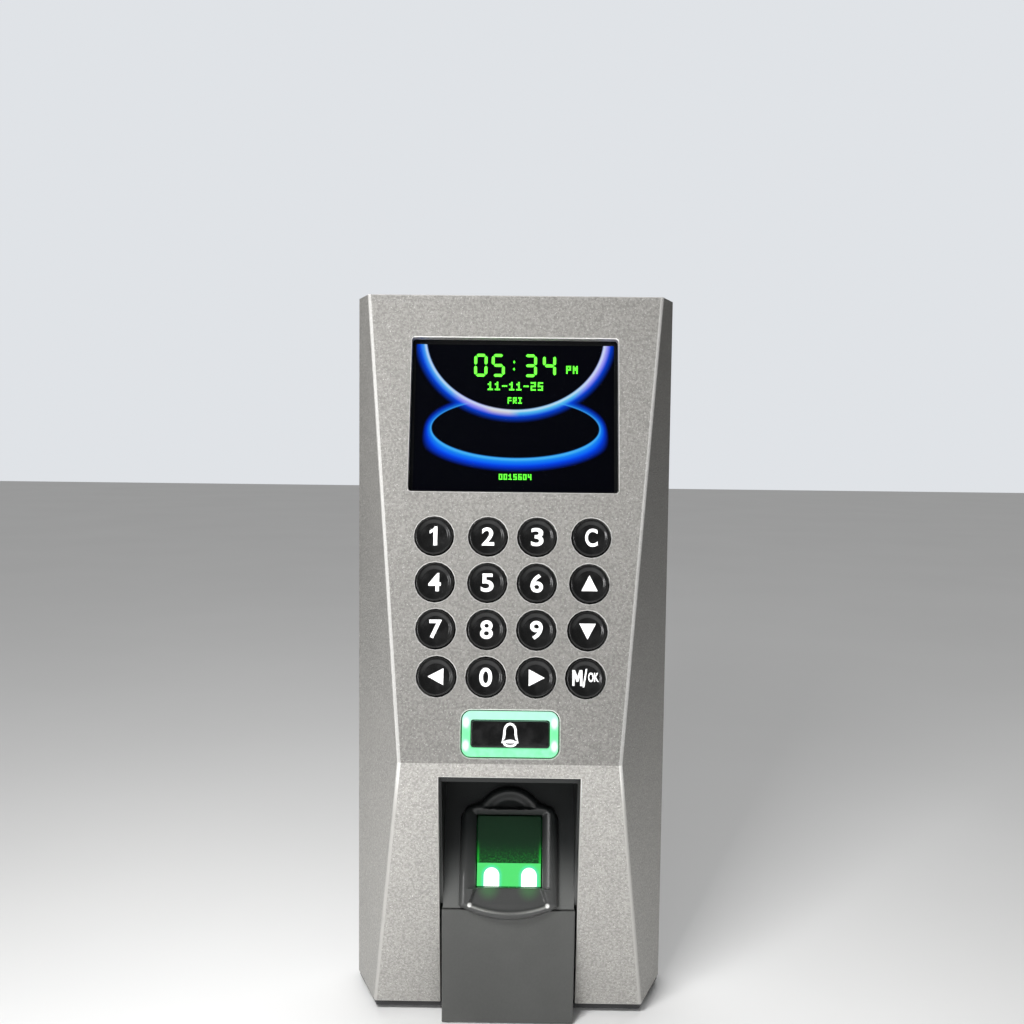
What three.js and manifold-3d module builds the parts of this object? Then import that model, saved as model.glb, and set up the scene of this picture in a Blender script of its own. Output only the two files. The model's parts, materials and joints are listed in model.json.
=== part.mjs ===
// Wall-mounted fingerprint access terminal: a cast front case with a raked face, a rear tub that
// hangs on a steel wall plate, a display, sixteen keys, a lit bell key and a finger recess.
//
// Millimetres, +Z up, +X to the right of somebody facing the terminal, who stands towards -Y.
// The origin is the middle of the wall plate's rear face. "Reach" is a distance from the wall,
// "depth" a distance ahead of the seam between the two housings, "drop" one below the case's top.
import * as THREE from "three";
import { mergeVertices } from "three/addons/utils/BufferGeometryUtils.js";
import Module from "manifold-3d";

// ---------------------------------------------------------------- driving dimensions
// Clearances
const fitGap = 0.3; // between neighbouring pieces
const boreSlack = 0.35; // on the radius of a hole for a screw or a plunger

// Wall plate and how the rear tub hangs on it
const plateWidth = 64;
const plateThickness = 1.5;
const plateCorner = 4;
const plateTopDrop = 8.5;
const plateFootDrop = 175;
const plateGap = 0.6; // plate to rear tub
const hookSpread = 20; // middle of each hook from the centre line
const hookWidth = 9;
const hookRise = 5.5; // from the plate's top edge to the hook's tip
const hookLip = 1.2;
const hookSlack = 0.7; // hook lip to rear wall
const slotSlackBelow = 0.8;
const slotSlackAbove = 0.5;
const tabWidth = 16;
const tabReach = 9;
const wallScrewRadius = 2.2;
const wallScrewRow = 58; // above and below the middle
const wallScrewColumn = 22;

// Cable outlet through the tub and the plate
const outletWidth = 38;
const outletHeight = 26;
const outletDrop = 123;
const outletMargin = 3; // the plate's window is larger by this all round

// Rear tub
const tubWall = 2;
const tubDepth = 5.1;
const tubInset = 0.5; // the tub stands back from the case's outline
const footThickness = 1.3;
const footInset = 0.8;

// Front case
const caseWidth = 82;
const caseHeight = 181;
const topDepth = 9;
const ridgeDepth = 34.5;
const footDepth = 15.4;
const flankDraft = 0.429; // each flank closes in by this for every millimetre of depth
const caseWall = 2;
const casePostRadius = 3.4;
const caseScrewRadius = 1.4;
const caseScrewHead = 2.6;
const caseScrewHeadHeight = 1.7;
const caseScrewLength = 9;
const caseScrewColumn = 32.2;
const caseScrewInset = 11; // from the top and the bottom of the case

// Upper face, read from its top edge down
const topToDisplay = 11.1;
const displayWidth = 51.5;
const displayHeight = 39.1;
const displayCorner = 0.8;
const displayToKeys = 6.2;
const keyRadius = 4.5;
const keyGap = 0.35;
const keyRowLand = 1.5; // metal between two key holes, up and down
const keyInnerLand = 2.2; // between the two middle columns
const keyOuterLand = 3.4; // between a middle and an outer column, at the top row
const keyColumnLean = 0.45; // the outer columns lean in by this each row
const keysToRing = 3.1;
const ringWidth = 22.7;
const ringHeight = 10.5;
const ringBand = 1.9;
const ringCorner = 2.1;
const ringToRidge = 1.6;

// Display stack behind the window
const lensSetback = 0.6;
const lensFlange = 2;
const lensFlangeThickness = 0.8;
const gasketThickness = 0.8;
const gasketBand = 3;
const moduleMargin = 1;
const moduleThickness = 3.2;

// Keys
const keyProud = 0.9;
const keyDish = 0.45;
const keyRim = 0.55;
const keySkirt = 0.6; // the retaining skirt's reach past the cap
const keySkirtThickness = 0.8;
const keyTravel = 1;
const keyStemRadius = 1.6;
const keyStemLength = 1.1;
const bellKeyProud = 0.35;
const keySides = 14;
const matThickness = 0.8;
const domeRise = 0.8;
const domeRadius = 2;
const boardThickness = 1.4;
const keypadMargin = 2;

// Finger recess, read from the ridge down; its floor rakes out to the chin
const ridgeToRecess = 3.7;
const recessHalfWidth = 16.3;
const recessCeiling = 2; // below the notch's top edge
const recessBackDepth = 9.5;
const recessRun = 34.8; // height of the raked floor
const recessRake = 20.9 * (Math.PI / 180);
const shroudWall = 1.5;
const notchTopHalf = 16.8;
const notchFootHalf = 17.3;

// Chin cover below the recess
const chinHalfWidth = 16.6;
const chinWall = 1.6;
const chinFootDepth = 20.5;
const chinOverhang = 2.4; // below the front case
const chinCheek = 5.4;

// Finger guide on the recess floor; "run" is the distance down the floor from its top
const guideHalfWidth = 12.4;
const guideRise = 2.8;
const guideShoulderRun = 16;
const guideWingHalf = 11;
const guideWingRun = 13;
const archHalfWidth = 7.3;
const archFootRun = 11.6;
const archRise = 3.8;
const archPocketInset = 1;
const archPocketFloor = 1.2;
const lipRun = 36.6;
const lipBulge = 3.2;
const windowHalfWidth = 8.3;
const windowTopRun = 14.9;
const windowFootRun = 32.3;
const scoopFloor = 0.9;
const scoopFootRun = 36.1;
const scoopFootHalf = 10.4;
const scoopBulge = 1.9;

// Optical sensor under the window
const platenTop = 0.9;
const prismRear = -5.5;
const prismToe = -1.6;
const prismToeRun = 7.4;
const ledBoardGap = 3.2;
const ledRadius = 1.5;
const ledSpread = 4.6;
const ledHeight = 2.2;
const lensBarrelRadius = 3;
const lensBarrelLength = 2.8;
const sensorBoardHalf = 13;
const sensorBoardHeight = 10;
const sensorPostRadius = 2;
const sensorScrewRadius = 0.9;

// Main board and what it carries
const mainBoardWidth = 66;
const mainBoardHeight = 98;
const mainBoardTopDrop = 52;
const mainBoardReach = 9;
const boardScrewRadius = 1.2;
const boardScrewInset = 4;
const boardPostRadius = 2.8;
const speakerRadius = 12;
const speakerThickness = 4.2;
const speakerDrop = 34;
const grilleHoleRadius = 1.2;
const grillePitch = 4.4;

// Tamper switch on the tub's rear wall
const tamperX = 22;
const tamperDrop = 163;
const tamperRadius = 2;
const tamperTravel = 1.5;
const tamperBody = 9;
const tamperBodyDepth = 5;

// Lock screw, up through the tub's foot into the plate's tab
const lockWallGap = 0.6; // from the tub's rear wall to the screw
const lockRadius = 1.5;
const lockHead = 2.8;
const lockHeadHeight = 1.4;
const lockBoss = 3.9;
const lockBossHeight = 4.4;

// ---------------------------------------------------------------- places worked out from them
const topZ = caseHeight / 2;
const tubRear = plateThickness + plateGap;
const seamReach = tubRear + tubDepth + fitGap;
const halfSeam = caseWidth / 2;
const lockReach = tubRear + tubWall + lockWallGap + lockRadius;

const keyHoleRadius = keyRadius + keyGap;
const keyRowPitch = 2 * keyHoleRadius + keyRowLand;
const firstKeyRun = topToDisplay + displayHeight + displayToKeys + keyHoleRadius;
const ringRun = firstKeyRun + 3 * keyRowPitch + keyHoleRadius + keysToRing + ringHeight / 2;
const faceLength = ringRun + ringHeight / 2 + ringToRidge;
const faceTilt = Math.asin((ridgeDepth - topDepth) / faceLength);
const ridgeDrop = faceLength * Math.cos(faceTilt);

const notchDrop = ridgeDrop + ridgeToRecess;
const recessTopDrop = notchDrop + recessCeiling;
const recessFootDrop = recessTopDrop + recessRun;
const recessFootDepth = recessBackDepth + recessRun * Math.tan(recessRake);
const footDrop = caseHeight + fitGap;

const yAt = (depth) => -(seamReach + depth);
const zAt = (drop) => topZ - drop;
const sidePoint = (depth, drop) => new THREE.Vector2(yAt(depth), zAt(drop));

// ---------------------------------------------------------------- solids and outlines
const wasm = await Module();
wasm.setup();

function solidOf(geometry) {
  const bare = geometry.clone();
  bare.deleteAttribute("normal");
  bare.deleteAttribute("uv");
  const merged = mergeVertices(bare, 1e-4);
  const vertProperties = new Float32Array(merged.attributes.position.array);
  const triVerts = new Uint32Array(merged.index.array);
  return new wasm.Manifold(new wasm.Mesh({ numProp: 3, vertProperties, triVerts }));
}

function geometryOf(solid) {
  const mesh = solid.getMesh();
  const geometry = new THREE.BufferGeometry();
  geometry.setAttribute("position", new THREE.BufferAttribute(mesh.vertProperties, 3));
  geometry.setIndex(new THREE.BufferAttribute(mesh.triVerts, 1));
  const flat = geometry.toNonIndexed();
  flat.computeVertexNormals();
  return flat;
}

const joined = (...geometries) =>
  geometries.map(solidOf).reduce((whole, next) => whole.add(next));
const without = (solid, ...geometries) =>
  geometries.map(solidOf).reduce((rest, cut) => rest.subtract(cut), solid);

const alongX = new THREE.Matrix4().makeBasis(
  new THREE.Vector3(0, 1, 0), new THREE.Vector3(0, 0, 1), new THREE.Vector3(1, 0, 0));
const fromWall = new THREE.Matrix4().makeBasis(
  new THREE.Vector3(1, 0, 0), new THREE.Vector3(0, 0, 1), new THREE.Vector3(0, -1, 0));

function prism(outline, low, high, segments = 6) {
  const shape = Array.isArray(outline) ? new THREE.Shape(outline) : outline;
  const options = { depth: high - low, bevelEnabled: false, curveSegments: segments };
  return new THREE.ExtrudeGeometry(shape, options).translate(0, 0, low);
}
// A side-view outline of (y, z) points, as wide as twice halfWidth.
const sideways = (outline, halfWidth) => prism(outline, -halfWidth, halfWidth).applyMatrix4(alongX);
// A front-view outline of (x, z) points, from one reach to a larger one.
const outward = (outline, near, far, segments) =>
  prism(outline, near, far, segments).applyMatrix4(fromWall);

function box(lowX, highX, nearReach, farReach, lowZ, highZ) {
  return new THREE.BoxGeometry(highX - lowX, farReach - nearReach, highZ - lowZ).translate(
    (lowX + highX) / 2, -(nearReach + farReach) / 2, (lowZ + highZ) / 2);
}

function roundedRect(width, height, corner, x = 0, y = 0) {
  const right = width / 2 - corner;
  const up = height / 2 - corner;
  const shape = new THREE.Shape();
  shape.absarc(x + right, y + up, corner, 0, Math.PI / 2);
  shape.absarc(x - right, y + up, corner, Math.PI / 2, Math.PI);
  shape.absarc(x - right, y - up, corner, Math.PI, 1.5 * Math.PI);
  shape.absarc(x + right, y - up, corner, 1.5 * Math.PI, 2 * Math.PI);
  return shape;
}

// A round bar along local Z between two heights.
const bar = (radius, low, high, sides = 16) =>
  new THREE.CylinderGeometry(radius, radius, high - low, sides)
    .rotateX(Math.PI / 2)
    .translate(0, 0, (low + high) / 2);
// A round bar that stands out from the wall between two reaches.
const post = (radius, x, z, near, far, sides = 16) =>
  bar(radius, near, far, sides).applyMatrix4(fromWall).translate(x, 0, z);

// A turned piece about local Z from [radius, height] pairs, first and last on the axis.
function turned(profile, sides) {
  const points = profile.map(([radius, height]) => new THREE.Vector2(radius, height));
  return new THREE.LatheGeometry(points, sides).rotateX(Math.PI / 2);
}

// A convex outline moved inwards by a distance, each edge parallel to itself.
function inset(points, distance) {
  const turn = Math.sign(THREE.ShapeUtils.area(points));
  const edges = points.map((start, i) => {
    const along = points[(i + 1) % points.length].clone().sub(start).normalize();
    const inwards = new THREE.Vector2(-along.y, along.x).multiplyScalar(turn * distance);
    return { start: start.clone().add(inwards), along };
  });
  return edges.map((edge, i) => {
    const before = edges[(i + edges.length - 1) % edges.length];
    const gap = edge.start.clone().sub(before.start);
    const run = gap.cross(edge.along) / before.along.cross(edge.along);
    return before.start.clone().add(before.along.clone().multiplyScalar(run));
  });
}

// The radius of an arc from its half chord and its rise.
const arcRadius = (halfChord, rise) => (halfChord ** 2 + rise ** 2) / (2 * rise);

// ---------------------------------------------------------------- materials and groups
const finish = (color, roughness, metalness, extra = {}) =>
  new THREE.MeshStandardMaterial({ color, roughness, metalness, ...extra });
const materials = {
  silver: finish(0xb0aea9, 0.55, 0.5),
  blackPlastic: finish(0x1c1d1e, 0.5, 0),
  chinPlastic: finish(0x606160, 0.45, 0),
  shroudPlastic: finish(0x2a2b2b, 0.45, 0),
  keyPlastic: finish(0x1a1a1a, 0.18, 0),
  ring: finish(0x9df5c4, 0.35, 0, { emissive: 0x2fae6a }),
  smokedGlass: finish(0x07090d, 0.05, 0),
  greenGlass: finish(0x183a20, 0.08, 0),
  lamp: finish(0xeafff0, 0.3, 0, { emissive: 0x66ff99 }),
  rubber: finish(0x2a2a2a, 0.9, 0),
  board: finish(0x1f5a34, 0.6, 0),
  steel: finish(0xa8aaac, 0.4, 0.9),
  zinc: finish(0xc9ccd0, 0.35, 0.9),
  socket: finish(0xe6e2d6, 0.5, 0),
};

const terminal = new THREE.Group();

// The upper face: local Z is its outward normal, local Y runs up it, from the top edge.
const face = new THREE.Group();
face.position.set(0, yAt(topDepth), zAt(0));
face.rotation.x = Math.PI / 2 - faceTilt;
face.updateMatrix();

// The recess floor, in the same way, from the floor's top end.
const floor = new THREE.Group();
floor.position.set(0, yAt(recessBackDepth), zAt(recessTopDrop));
floor.rotation.x = Math.PI / 2 - recessRake;
floor.updateMatrix();

terminal.add(face, floor);

function add(group, name, shape, material) {
  const geometry = shape.isBufferGeometry ? shape : geometryOf(shape);
  const mesh = new THREE.Mesh(geometry, material);
  mesh.name = name;
  group.add(mesh);
  return mesh;
}

// ---------------------------------------------------------------- front case
const halfWidthAt = (depth) => halfSeam - flankDraft * depth;
const flankInset = (distance) => distance * Math.hypot(1, flankDraft);

// The plan of the case between two depths, moved in from both flanks by a distance.
function planOutline(nearDepth, farDepth, distance) {
  const corner = (side, depth) =>
    new THREE.Vector2(side * (halfWidthAt(depth) - flankInset(distance)), yAt(depth));
  return [corner(-1, nearDepth), corner(1, nearDepth), corner(1, farDepth), corner(-1, farDepth)];
}

function caseSide(rearDepth, footRoom) {
  const footSlope = (ridgeDepth - footDepth) / (caseHeight - ridgeDrop);
  return [
    sidePoint(rearDepth, 0),
    sidePoint(topDepth, 0),
    sidePoint(ridgeDepth, ridgeDrop),
    sidePoint(footDepth - footSlope * footRoom, caseHeight + footRoom),
    sidePoint(rearDepth, caseHeight + footRoom),
  ];
}

const pastEnd = 5;
const caseOutside = solidOf(sideways(caseSide(0, 0), caseWidth)).intersect(
  solidOf(prism(planOutline(0, ridgeDepth + 1, 0), -caseHeight, caseHeight)));
// The room inside a wall of a given thickness, open to the rear and the foot.
const caseInside = (wall) =>
  solidOf(sideways(inset(caseSide(-pastEnd, pastEnd), wall), caseWidth)).intersect(
    solidOf(prism(planOutline(-pastEnd, ridgeDepth + 1, wall), -caseHeight, caseHeight)));

const onFace = (geometry) => geometry.applyMatrix4(face.matrix);
const onFloor = (geometry) => geometry.applyMatrix4(floor.matrix);
const throughWall = [-caseWall - 1, 1];

const displayRun = topToDisplay + displayHeight / 2;
const keyPlaces = [];
for (let row = 0; row < 4; row += 1) {
  const inner = keyHoleRadius + keyInnerLand / 2;
  const outer = inner + 2 * keyHoleRadius + keyOuterLand - keyColumnLean * row;
  for (const x of [-outer, -inner, inner, outer]) {
    keyPlaces.push({ x, run: firstKeyRun + row * keyRowPitch });
  }
}

const caseScrewPlaces = [];
for (const drop of [caseScrewInset, caseHeight - caseScrewInset]) {
  for (const side of [-1, 1]) caseScrewPlaces.push({ x: side * caseScrewColumn, z: zAt(drop) });
}
const caseScrewTip = tubRear + caseScrewHeadHeight + fitGap + caseScrewLength;

function frontCase() {
  let shell = caseOutside.subtract(caseInside(caseWall));
  for (const { x, z } of caseScrewPlaces) {
    const boss = solidOf(post(casePostRadius, x, z, seamReach, seamReach + ridgeDepth, 12));
    shell = shell.add(boss.intersect(caseOutside));
  }
  const screwHoles = caseScrewPlaces.map(({ x, z }) =>
    post(caseScrewRadius + boreSlack, x, z, tubRear, caseScrewTip + 1, 10));
  const displayHole = prism(
    roundedRect(displayWidth, displayHeight, displayCorner), ...throughWall, 3);
  const keyHoles = keyPlaces.map(({ x, run }) =>
    onFace(bar(keyHoleRadius, ...throughWall, 20).translate(x, -run, 0)));
  const ringHole = prism(
    roundedRect(ringWidth + 2 * fitGap, ringHeight + 2 * fitGap, ringCorner + fitGap), ...throughWall, 4);
  const notch = outward([
    new THREE.Vector2(-notchTopHalf, zAt(notchDrop)),
    new THREE.Vector2(notchTopHalf, zAt(notchDrop)),
    new THREE.Vector2(notchFootHalf, zAt(caseHeight + 1)),
    new THREE.Vector2(-notchFootHalf, zAt(caseHeight + 1)),
  ], seamReach + caseWall, seamReach + ridgeDepth + 1);
  return without(shell, ...screwHoles, onFace(displayHole.translate(0, -displayRun, 0)),
    ...keyHoles, onFace(ringHole.translate(0, -ringRun, 0)), notch);
}
add(terminal, "front_case", frontCase(), materials.silver);

// ---------------------------------------------------------------- wall plate
const plateTop = zAt(plateTopDrop);
const plateFoot = zAt(plateFootDrop);
const outletZ = zAt(outletDrop);
const hookTop = plateTop + plateThickness;
const hookLipReach = tubRear + tubWall + hookSlack;
const tamperZ = zAt(tamperDrop);
const grilleZ = zAt(speakerDrop);

function wallPlate() {
  const sheet = outward(
    roundedRect(plateWidth, plateTop - plateFoot, plateCorner, 0, (plateTop + plateFoot) / 2),
    0, plateThickness, 3);
  const hooks = [-1, 1].flatMap((side) => {
    const low = side * hookSpread - hookWidth / 2;
    const high = low + hookWidth;
    return [
      box(low, high, 0, plateThickness, plateTop - 2, hookTop),
      box(low, high, 0, hookLipReach + hookLip, plateTop, hookTop),
      box(low, high, hookLipReach, hookLipReach + hookLip, plateTop, plateTop + hookRise),
    ];
  });
  const tab = box(-tabWidth / 2, tabWidth / 2, 0, tabReach, plateFoot, plateFoot + plateThickness);
  const tabNotch = lockRadius + boreSlack;
  const cuts = [
    outward(roundedRect(outletWidth + 2 * outletMargin, outletHeight + 2 * outletMargin, 2, 0, outletZ),
      -1, plateThickness + 1, 3),
    post(tamperRadius * 2, tamperX, tamperZ, -1, plateThickness + 1, 12),
    post(grillePitch + 2 * grilleHoleRadius, 0, grilleZ, -1, plateThickness + 1, 16),
    box(-tabNotch, tabNotch, lockReach - tabNotch, tabReach + 1,
      plateFoot - 1, plateFoot + plateThickness + 1),
  ];
  for (const x of [-wallScrewColumn, wallScrewColumn]) {
    for (const z of [-wallScrewRow, wallScrewRow]) {
      cuts.push(post(wallScrewRadius, x, z, -1, plateThickness + 1, 10));
    }
  }
  return without(joined(sheet, ...hooks, tab), ...cuts);
}
add(terminal, "wall_plate", wallPlate(), materials.zinc);

// ---------------------------------------------------------------- rear tub
const mainBoardPlaces = [];
for (const side of [-1, 1]) {
  for (const drop of [mainBoardTopDrop + boardScrewInset,
    mainBoardTopDrop + mainBoardHeight - boardScrewInset]) {
    mainBoardPlaces.push({ x: side * (mainBoardWidth / 2 - boardScrewInset), z: zAt(drop) });
  }
}
const tubInner = tubRear + tubWall;
const tubHalfWidth = halfSeam - tubInset;
const counterboreReach = tubRear + caseScrewHeadHeight + fitGap;
const tamperPocket = tamperBody / 2 + fitGap;
const tamperFlangeReach = tubInner + 0.6;
const tamperSwitchReach = tamperFlangeReach + 0.8 + tamperTravel + 0.5;

function rearTub() {
  const low = zAt(footDrop + footThickness);
  const high = zAt(tubInset);
  const seam = tubRear + tubDepth;
  const shell = [
    box(-tubHalfWidth, tubHalfWidth, tubRear, tubInner, low, high),
    box(-tubHalfWidth, -tubHalfWidth + tubWall, tubRear, seam, low, high),
    box(tubHalfWidth - tubWall, tubHalfWidth, tubRear, seam, low, high),
    box(-tubHalfWidth, tubHalfWidth, tubRear, seam, high - tubWall, high),
  ];
  const footDepthIn = footDepth - footInset;
  const footOutline = [
    new THREE.Vector2(-tubHalfWidth, -tubRear),
    new THREE.Vector2(tubHalfWidth, -tubRear),
    new THREE.Vector2(tubHalfWidth, -seam),
    new THREE.Vector2(halfWidthAt(footDepthIn) - footInset, yAt(footDepthIn)),
    new THREE.Vector2(-halfWidthAt(footDepthIn) + footInset, yAt(footDepthIn)),
    new THREE.Vector2(-tubHalfWidth, -seam),
  ];
  shell.push(prism(footOutline, low, zAt(footDrop)));
  for (const { x, z } of caseScrewPlaces) {
    shell.push(post(caseScrewHead + 1.6, x, z, tubRear, seam, 12));
  }
  for (const { x, z } of mainBoardPlaces) {
    shell.push(post(boardPostRadius, x, z, tubRear, mainBoardReach - fitGap, 10));
  }
  for (const side of [-1, 1]) {
    const near = tamperX + side * tamperPocket;
    const far = near + side * 1.2;
    shell.push(box(Math.min(near, far), Math.max(near, far), tubRear, tamperSwitchReach + 3,
      tamperZ - tamperBody / 2, tamperZ + tamperBody / 2));
  }
  shell.push(bar(lockBoss, low, low + lockBossHeight, 12).translate(0, -lockReach, 0));

  const cuts = [
    outward(roundedRect(outletWidth, outletHeight, 1.5, 0, outletZ), tubRear - 1, tubInner + 1, 3),
    post(tamperRadius + boreSlack, tamperX, tamperZ, tubRear - 1, tubInner + 1, 12),
    box(-tabWidth / 2 - 1, tabWidth / 2 + 1, tubRear - 1, tubInner + 0.5,
      plateFoot - slotSlackBelow, plateFoot + plateThickness + slotSlackBelow),
    bar(lockRadius + boreSlack, low - 1, low + lockBossHeight + 1, 12).translate(0, -lockReach, 0),
    bar(lockHead + boreSlack, low - 1, low + lockHeadHeight + fitGap, 12).translate(0, -lockReach, 0),
  ];
  for (const side of [-1, 1]) {
    const middle = side * hookSpread;
    cuts.push(box(middle - hookWidth / 2 - 1, middle + hookWidth / 2 + 1, tubRear - 1, tubInner + 0.5,
      plateTop - slotSlackBelow, hookTop + slotSlackAbove));
  }
  for (const { x, z } of caseScrewPlaces) {
    cuts.push(post(caseScrewHead + boreSlack, x, z, tubRear - 1, counterboreReach, 12));
    cuts.push(post(caseScrewRadius + boreSlack, x, z, tubRear - 1, seam + 1, 10));
  }
  for (const { x, z } of mainBoardPlaces) {
    cuts.push(post(boardScrewRadius + boreSlack, x, z, tubInner, mainBoardReach + 1, 10));
  }
  cuts.push(post(grilleHoleRadius, 0, grilleZ, tubRear - 1, tubInner + 1, 8));
  for (let hole = 0; hole < 6; hole += 1) {
    const angle = (hole * Math.PI) / 3;
    cuts.push(post(grilleHoleRadius, grillePitch * Math.cos(angle),
      grilleZ + grillePitch * Math.sin(angle), tubRear - 1, tubInner + 1, 8));
  }
  return without(joined(...shell), ...cuts);
}
add(terminal, "rear_tub", rearTub(), materials.blackPlastic);

// ---------------------------------------------------------------- display stack
const lensRear = -caseWall - fitGap - lensFlangeThickness;
const gasketFront = lensRear - fitGap;
const moduleFront = gasketFront - gasketThickness - fitGap;

function displayStack() {
  const stack = new THREE.Group();
  stack.position.y = -displayRun;
  const boss = prism(roundedRect(displayWidth - 2 * fitGap, displayHeight - 2 * fitGap, displayCorner),
    lensRear, -lensSetback, 3);
  const flangeWidth = displayWidth + 2 * lensFlange;
  const flangeHeight = displayHeight + 2 * lensFlange;
  const flange = prism(roundedRect(flangeWidth, flangeHeight, 1), lensRear, -caseWall - fitGap, 3);
  add(stack, "display_lens", joined(boss, flange), materials.smokedGlass);

  const ring = roundedRect(flangeWidth, flangeHeight, 1);
  ring.holes.push(roundedRect(flangeWidth - 2 * gasketBand, flangeHeight - 2 * gasketBand, 1));
  add(stack, "display_gasket", prism(ring, gasketFront - gasketThickness, gasketFront, 3), materials.rubber);

  add(stack, "display_module", prism(
    roundedRect(flangeWidth + moduleMargin, flangeHeight + moduleMargin / 2, 1),
    moduleFront - moduleThickness, moduleFront, 3), materials.steel);
  return stack;
}
face.add(displayStack());

// ---------------------------------------------------------------- keys, mat and key board
const skirtTop = -caseWall - fitGap;
const skirtFoot = skirtTop - keySkirtThickness;
const stemFoot = skirtFoot - keyStemLength;
const domeTop = stemFoot - keyTravel - 0.1;
const matFront = domeTop - domeRise;
const keyBoardFront = matFront - matThickness - fitGap;

const keyProfile = [
  [0, stemFoot],
  [keyStemRadius, stemFoot],
  [keyStemRadius, skirtFoot],
  [keyRadius + keySkirt, skirtFoot],
  [keyRadius + keySkirt, skirtTop],
  [keyRadius, skirtTop],
  [keyRadius, keyProud - keyRim],
  [keyRadius - keyRim, keyProud],
  [0, keyProud - keyDish],
];
const keyNames = ["key_1", "key_2", "key_3", "key_clear", "key_4", "key_5", "key_6", "key_up",
  "key_7", "key_8", "key_9", "key_down", "key_left", "key_0", "key_right", "key_ok"];
keyPlaces.forEach(({ x, run }, i) => {
  add(face, keyNames[i], turned(keyProfile, keySides), materials.keyPlastic).position.set(x, -run, 0);
});

const bellWidth = ringWidth - 2 * (ringBand + fitGap);
const bellHeight = ringHeight - 2 * (ringBand + fitGap);
const bellCorner = ringCorner - ringBand + 0.8;
const ringFlangeRear = skirtTop - 0.8;
const bellSkirtTop = ringFlangeRear - fitGap;

function lightRing() {
  const window = () => roundedRect(bellWidth + 2 * fitGap, bellHeight + 2 * fitGap, bellCorner);
  const band = roundedRect(ringWidth, ringHeight, ringCorner);
  band.holes.push(window());
  const flange = roundedRect(ringWidth + 2.4, ringHeight + 2.4, ringCorner);
  flange.holes.push(window());
  return joined(prism(band, ringFlangeRear, 0.2, 4), prism(flange, ringFlangeRear, skirtTop, 4));
}
add(face, "light_ring", lightRing(), materials.ring).position.y = -ringRun;

const bellCap = joined(
  prism(roundedRect(bellWidth, bellHeight, bellCorner), bellSkirtTop - 0.5, bellKeyProud, 3),
  prism(roundedRect(bellWidth + 2, bellHeight + 2, bellCorner), stemFoot, bellSkirtTop, 3));
add(face, "bell_key", bellCap, materials.keyPlastic).position.y = -ringRun;

const keyTopRun = firstKeyRun - keyHoleRadius;
const padFootRun = ringRun + 3;
const padHalfWidth = Math.max(...keyPlaces.map(({ x }) => x)) + keyHoleRadius + keypadMargin;
const padShape = () =>
  roundedRect(2 * padHalfWidth, padFootRun - keyTopRun, 1.5, 0, -(padFootRun + keyTopRun) / 2);

// The mat and the board are trimmed to the room between the flanks.
const domePlaces = [...keyPlaces, { x: 0, run: ringRun }];
const domes = domePlaces.map(({ x, run }) =>
  onFace(bar(domeRadius, matFront - matThickness / 2, domeTop, 6).translate(x, -run, 0)));
const betweenFlanks = caseInside(caseWall + fitGap);
const pad = (rear, front) => solidOf(onFace(prism(padShape(), rear, front, 3))).intersect(betweenFlanks);
add(terminal, "keypad_mat", pad(matFront - matThickness, matFront).add(joined(...domes)), materials.rubber);
add(terminal, "keypad_board", pad(keyBoardFront - boardThickness, keyBoardFront), materials.board);

// ---------------------------------------------------------------- finger recess
// Outlines on the recess floor are (x, -run).
const floorPoint = (x, run) => new THREE.Vector2(x, -run);
const floorRect = (half, topRun, footRun) => [
  floorPoint(-half, topRun), floorPoint(half, topRun), floorPoint(half, footRun), floorPoint(-half, footRun)];

const lensRun = windowTopRun + 6;
const barrelFront = prismRear - fitGap;
const sensorBoardFront = barrelFront - lensBarrelLength - fitGap;
const sensorPostPlaces = [-1, 1].map((side) => ({ x: side * (sensorBoardHalf - 2.2), run: lensRun }));

function sensorShroud() {
  const far = ridgeDepth + pastEnd;
  const floorDepthAt = (drop) => recessBackDepth + (drop - recessTopDrop) * Math.tan(recessRake);
  const room = [
    sidePoint(recessBackDepth, recessTopDrop),
    sidePoint(far, recessTopDrop),
    sidePoint(far, recessFootDrop + pastEnd),
    sidePoint(floorDepthAt(recessFootDrop + pastEnd), recessFootDrop + pastEnd),
  ];
  const around = inset(room, -shroudWall);
  const walls = solidOf(sideways(around, recessHalfWidth + shroudWall))
    .intersect(caseInside(caseWall + fitGap));
  const floorEnd = solidOf(sideways(around, recessHalfWidth)).intersect(
    solidOf(box(-caseWidth, caseWidth, 0, seamReach + recessFootDepth,
      zAt(recessFootDrop), zAt(notchDrop + caseWall + 1))));
  const aboveChin = solidOf(box(-caseWidth, caseWidth, 0, seamReach + far, zAt(recessFootDrop), topZ));
  const posts = sensorPostPlaces.map(({ x, run }) =>
    onFloor(bar(sensorPostRadius, sensorBoardFront + fitGap, -shroudWall / 2, 10).translate(x, -run, 0)));
  const postHoles = sensorPostPlaces.map(({ x, run }) =>
    onFloor(bar(sensorScrewRadius + boreSlack, sensorBoardFront - 1, -shroudWall - 1, 8)
      .translate(x, -run, 0)));
  const window = onFloor(prism(
    floorRect(windowHalfWidth + fitGap, windowTopRun - fitGap, windowFootRun + fitGap), -shroudWall - 1, 1));
  const tub = walls.add(floorEnd).intersect(aboveChin);
  return without(without(tub, sideways(room, recessHalfWidth)).add(joined(...posts)), window, ...postHoles);
}
add(terminal, "sensor_shroud", sensorShroud(), materials.shroudPlastic);

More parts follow.
